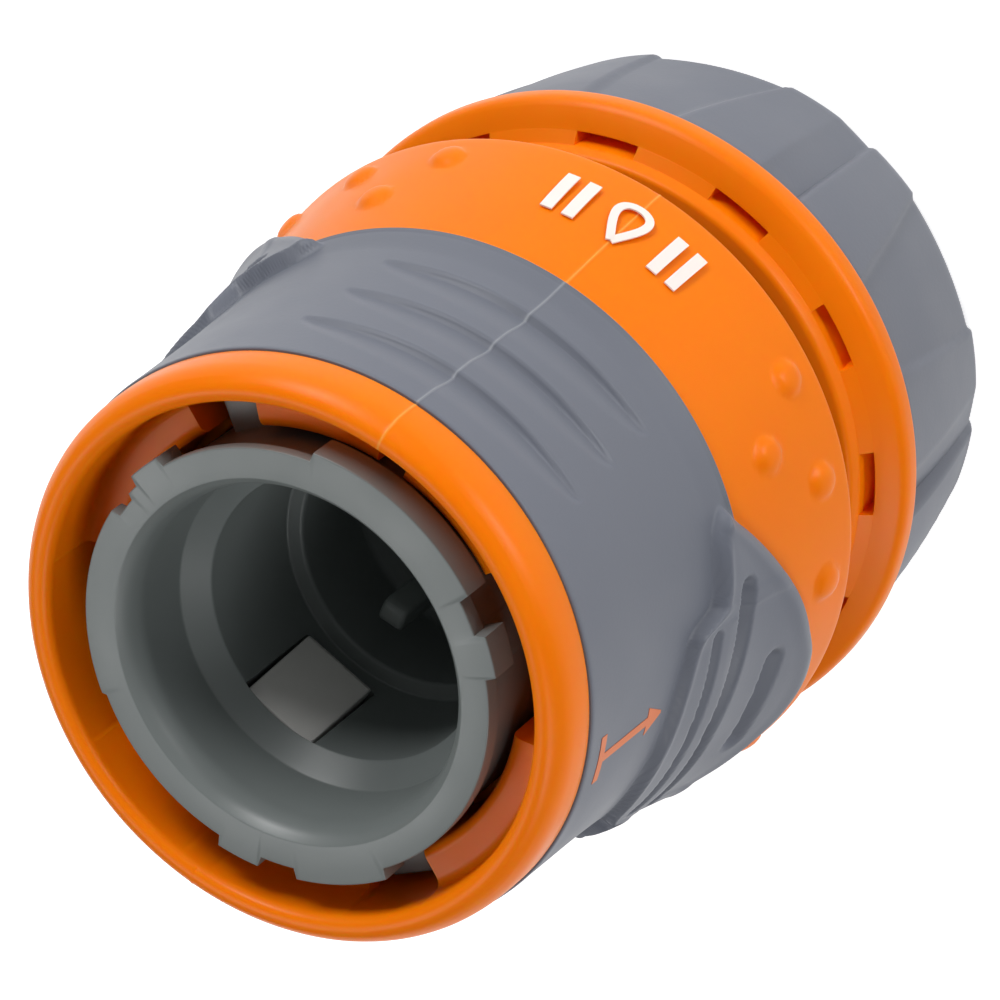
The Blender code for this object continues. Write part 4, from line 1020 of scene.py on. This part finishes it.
@dataclass
class ClampNut:
    """The nut with its soft layer, and the collet that it presses on the hose."""

    palette: Palette
    height: float = 15.2
    front_r: float = 21.1
    rear_r: float = 19.05
    flange_r: float = 21.45
    neck_r: float = 18.6
    neck_top: float = 19.1
    slot_deg: float = 12.0
    slot_floor: float = 16.2
    mouth_r: float = 13.6
    cone_top: float = 8.85
    thread_r: float = 16.9
    thread_z: float = 10.75
    pads: int = 6
    phase_deg: float = -10.0
    collet_r: float = 15.67
    jaw_r: float = 13.5
    tooth_r: float = 13.2

    # Middle of each slot, in degrees off the parting line
    SLOTS = (19.6, 50.1, 80.7, 111.2, 141.8, 172.3, 202.9, 233.5, 264.0, 294.2, 322.9, 351.1)
    # Where the groove between two pads begins, is deepest and ends, in degrees from a pad's middle
    GROOVE_DEG = (25.6, 26.7, 34.3)

    def build(self) -> None:
        """Make the nut, its soft layer and the collet."""
        settle(self._core(), Body.NUT, "orange_abs", "nut_core")
        settle(self._soft_layer(), Body.NUT, "soft_grip_tpe", "nut_grip")
        settle(self._collet(), Body.COLLET, "pale_acetal", "clamp_collet")

    def _core_corners(self, degrees: float) -> list[Corner]:
        """Section of the orange nut, through a slot of the flange or beside it."""
        rel = degrees - PARTING_DEG
        near = min(abs((rel - middle + 180.0) % 360.0 - 180.0) for middle in self.SLOTS)
        floor = self.slot_floor if near < self.slot_deg / 2 else None
        slot_in, slot_out, top_in, top_out = self.neck_r + 0.35, self.neck_r + 1.1, 18.25, 17.75
        flange, mouth, thread = self.flange_r, self.mouth_r, self.thread_r
        return section(
            (self.neck_r, self.neck_top, 0.3), (slot_in - 0.1, 18.6, 0.3),
            (slot_in, floor + 1.8 + 0.25 if floor else top_in, 0.05),
            (slot_in + 0.02, floor or top_in - 0.02, 0.03), (slot_out - 0.02, floor or top_out + 0.02, 0.03),
            (slot_out, top_out, 0.05), (flange - 0.9, 17.35, 0.5), (flange, 16.75, 0.55), (flange, 15.25, 0.35),
            (18.75, self.height, 0.1), (17.45, 3.0), (16.65, 0.5), (16.35, 0.0, 0.2), (14.0, 0.0, 0.3),
            (mouth, 0.3, 0.2), (mouth, 1.6, 0.1), (14.9, 1.6), (16.2, self.cone_top, 0.2), (thread, 9.5, 0.2),
            (thread, self.neck_top, 0.3),
        )

    def _core(self) -> Object:
        """Orange moulding with the slotted flange and the female thread."""
        edges = [middle + PARTING_DEG + sign * self.slot_deg / 2 for middle in self.SLOTS for sign in (-1.0, 1.0)]
        skin = Skin(with_edges(even(300), edges, 0.3), self._core_corners)
        lead = (self.thread_z - MALE_THREAD_Z) / THREAD_PITCH * 360.0 + 180.0
        ridge = thread_ridge("female_ridge", 17.1, 15.45, self.thread_z, 17.9, lead)
        whole = merged("nut_shape", [skin.mesh("nut_shape"), ridge])
        return add_piece("nut_shape", whole, self.palette.nut_orange, 45.0)

    def _grip_radius(self, degrees: np.ndarray, heights: np.ndarray) -> np.ndarray:
        """Outer radius of the soft layer: pads with a sunken middle, and a slanting groove between two pads."""
        period = 360.0 / self.pads
        turn = (degrees - self.phase_deg) % period
        away = np.minimum(turn, period - turn)
        share = np.clip(heights / self.height, 0.0, 1.0)
        land = self.rear_r + (self.front_r - self.rear_r) * (0.35 * share + 0.65 * np.sin(share * math.pi / 2))
        crease = 15.0 - 5.6 * share
        inside = 1.0 - ease(crease - 0.7 - 1.6 * share, crease, away)
        sunken = inside * (0.26 + 0.14 * share + 0.14 * np.clip(1.0 - (away / crease) ** 2, 0.0, 1.0))
        start, deepest, end = self.GROOVE_DEG
        slope = np.clip((end - turn) / (end - deepest), 0.0, 1.0) ** 0.75 * ease(start, deepest, turn)
        return land - sunken - (0.25 + 0.8 * share) * slope

    def _soft_layer(self) -> Object:
        """Soft layer whose rear edge is rounded."""
        top, rear = self.height - 0.05, 0.3
        corners = section((self.front_r, top, 0.0, 46), (self.rear_r, rear, 0.0, 1), (16.8, rear), (17.5, 3.0),
                          (18.8, self.height - 0.06))
        skin = Skin(even(540), lambda _: corners)
        face = skin.rows_of(0, 0)
        share = np.linspace(0.0, 1.0, skin.height[:, face].shape[1]) ** 1.25
        skin.height[:, face] = top + (rear + 0.02 - top) * (1.0 - (1.0 - share) ** 1.3)[None, :]
        height = skin.height[:, face]
        angle = np.broadcast_to(skin.degrees[:, None], height.shape)
        trim = rolled(1.15, 1.9, height - rear) + rolled(0.2, 0.35, top - height)
        skin.radius[:, face] = self._grip_radius(angle, height) - trim
        closing = skin.rows_of(1, 1)
        edge = skin.radius[:, face][:, -1:]
        skin.radius[:, closing] = edge - np.array([[0.03, 0.12]])
        return add_piece("nut_soft_layer", skin.mesh("nut_soft_layer"), self.palette.nut_soft, 60.0)

    def _collet(self) -> Object:
        """Split collet."""
        outer, jaw, tooth, top = self.collet_r, self.jaw_r, self.tooth_r, self.cone_top
        shape = turned(
            "collet_shape", 192, (outer, top, 0.15), (outer, 7.55, 0.1), (14.65, 2.1, 0.1), (14.4, 1.85, 0.1),
            (jaw, 1.85, 0.1), (jaw, 2.85), (tooth, 3.25, 0.05), (jaw, 3.65), (jaw, 4.45), (tooth, 4.85, 0.05),
            (jaw, 5.25), (jaw, top, 0.15),
        )
        piece = add_piece("collet_shape", shape, self.palette.pale, 45.0)
        slot = rectangle(-27.0, 27.0, 1.0, 6.85)
        carve(piece, [soft_block("slot", slot, 1.2, i * 45.0, 0.08) for i in range(4)])
        piece.data.materials.clear()
        piece.data.materials.append(self.palette.pale)
        return piece


@dataclass
class Studio:
    """Pale floor, soft lamps and the camera of the photograph."""

    camera_at: tuple[float, float, float] = (-0.073601, -0.177295, 0.280434)
    right: tuple[float, float, float] = (-0.80904, -0.34148, -0.47838)
    up: tuple[float, float, float] = (0.53978, -0.75374, -0.37485)
    back: tuple[float, float, float] = (-0.23257, -0.56149, 0.79413)
    lens: float = 186.8
    paper_lift: float = 0.75
    sky: float = 0.16
    floor_half: float = 2.0
    lamp_distance: float = 0.75
    aim_z: float = 0.03

    # Name, size, power, and direction by shares of the camera's right, up and back
    LAMPS = (("key_softbox", 0.25, 3.6, (0.72, 0.38, 0.58)), ("top_softbox", 0.3, 3.5, (-0.38, 0.72, 0.52)),
             ("left_softbox", 0.25, 1.1, (-0.8, -0.5, 0.3)), ("low_softbox", 0.3, 1.7, (0.15, -0.8, 0.5)))

    def build(self) -> None:
        """Make the floor, the lamps and the camera."""
        scene = bpy.context.scene
        scene.view_settings.view_transform = "Standard"
        self._floor()
        self._world()
        for name, size, power, aim in self.LAMPS:
            self._lamp(name, size, power, aim)
        camera = bpy.data.cameras.new("photo_camera")
        camera.lens = self.lens
        camera.sensor_width = 36.0
        camera.clip_start = 0.01
        camera.clip_end = 10.0
        holder = placed("photo_camera", camera)
        axes = Matrix((self.right, self.up, self.back)).transposed().to_4x4()
        holder.matrix_world = Matrix.Translation(self.camera_at) @ axes
        scene.camera = holder

    @staticmethod
    def _seen(tree: NodeTree, other: str) -> NodeSocket:
        """One for the camera's rays and for one other kind, zero for the rest."""
        rays = add_node(tree, "ShaderNodeLightPath")
        return add_node(tree, "ShaderNodeMath", links={0: rays.outputs["Is Camera Ray"], 1: rays.outputs[other]},
                        operation="MAXIMUM").outputs[0]

    def _floor(self) -> None:
        """Pale floor that the camera sees as white paper."""
        mesh = bpy.data.meshes.new("paper_floor")
        half = self.floor_half
        mesh.from_pydata([(x, y, 0.0) for x, y in rectangle(-half, half, -half, half)], [], [(0, 1, 2, 3)])
        floor = placed("paper_floor", mesh)
        material, shader = principled("white_paper_matt", {"Base Color": linear("#E9E9E9"), "Roughness": 0.9,
                                                           "Emission Color": WHITE})
        tree = material.node_tree
        seen = self._seen(tree, "Is Glossy Ray")
        lift = add_node(tree, "ShaderNodeMath", {1: self.paper_lift}, {0: seen}, operation="MULTIPLY")
        tree.links.new(lift.outputs[0], shader.inputs["Emission Strength"])
        mesh.materials.append(material)

    def _world(self) -> None:
        """Even studio surroundings."""
        world = bpy.data.worlds.new("studio")
        bpy.context.scene.world = world
        world.use_nodes = True
        tree = world.node_tree
        back = tree.nodes["Background"]
        back.inputs["Color"].default_value = WHITE
        seen = self._seen(tree, "Is Transmission Ray")
        level = add_node(tree, "ShaderNodeMapRange", {"To Min": self.sky, "To Max": 1.0}, {"Value": seen})
        tree.links.new(level.outputs[0], back.inputs["Strength"])

    def _lamp(self, name: str, size: float, power: float, aim: tuple[float, float, float]) -> None:
        """Square softbox that looks at the middle of the connector."""
        lamp = bpy.data.lights.new(name, "AREA")
        lamp.shape = "SQUARE"
        lamp.size = size
        lamp.energy = power
        holder = placed(name, lamp)
        target = Vector((0.0, 0.0, self.aim_z))
        way = Vector(self.right) * aim[0] + Vector(self.up) * aim[1] + Vector(self.back) * aim[2]
        place = target + way.normalized() * self.lamp_distance
        holder.location = place
        holder.rotation_euler = (target - place).to_track_quat("-Z", "Y").to_euler()


def main() -> None:
    """Dress the connector and set the studio."""
    logging.basicConfig(level=logging.INFO, format="%(name)s: %(message)s")
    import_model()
    palette = Palette()
    ReleaseSleeve(palette).build()
    SocketUnit(palette).build()
    WaterStop(palette).build()
    ClampNut(palette).build()
    Studio().build()
    bpy.context.view_layer.update()


if __name__ == "__main__":
    main()
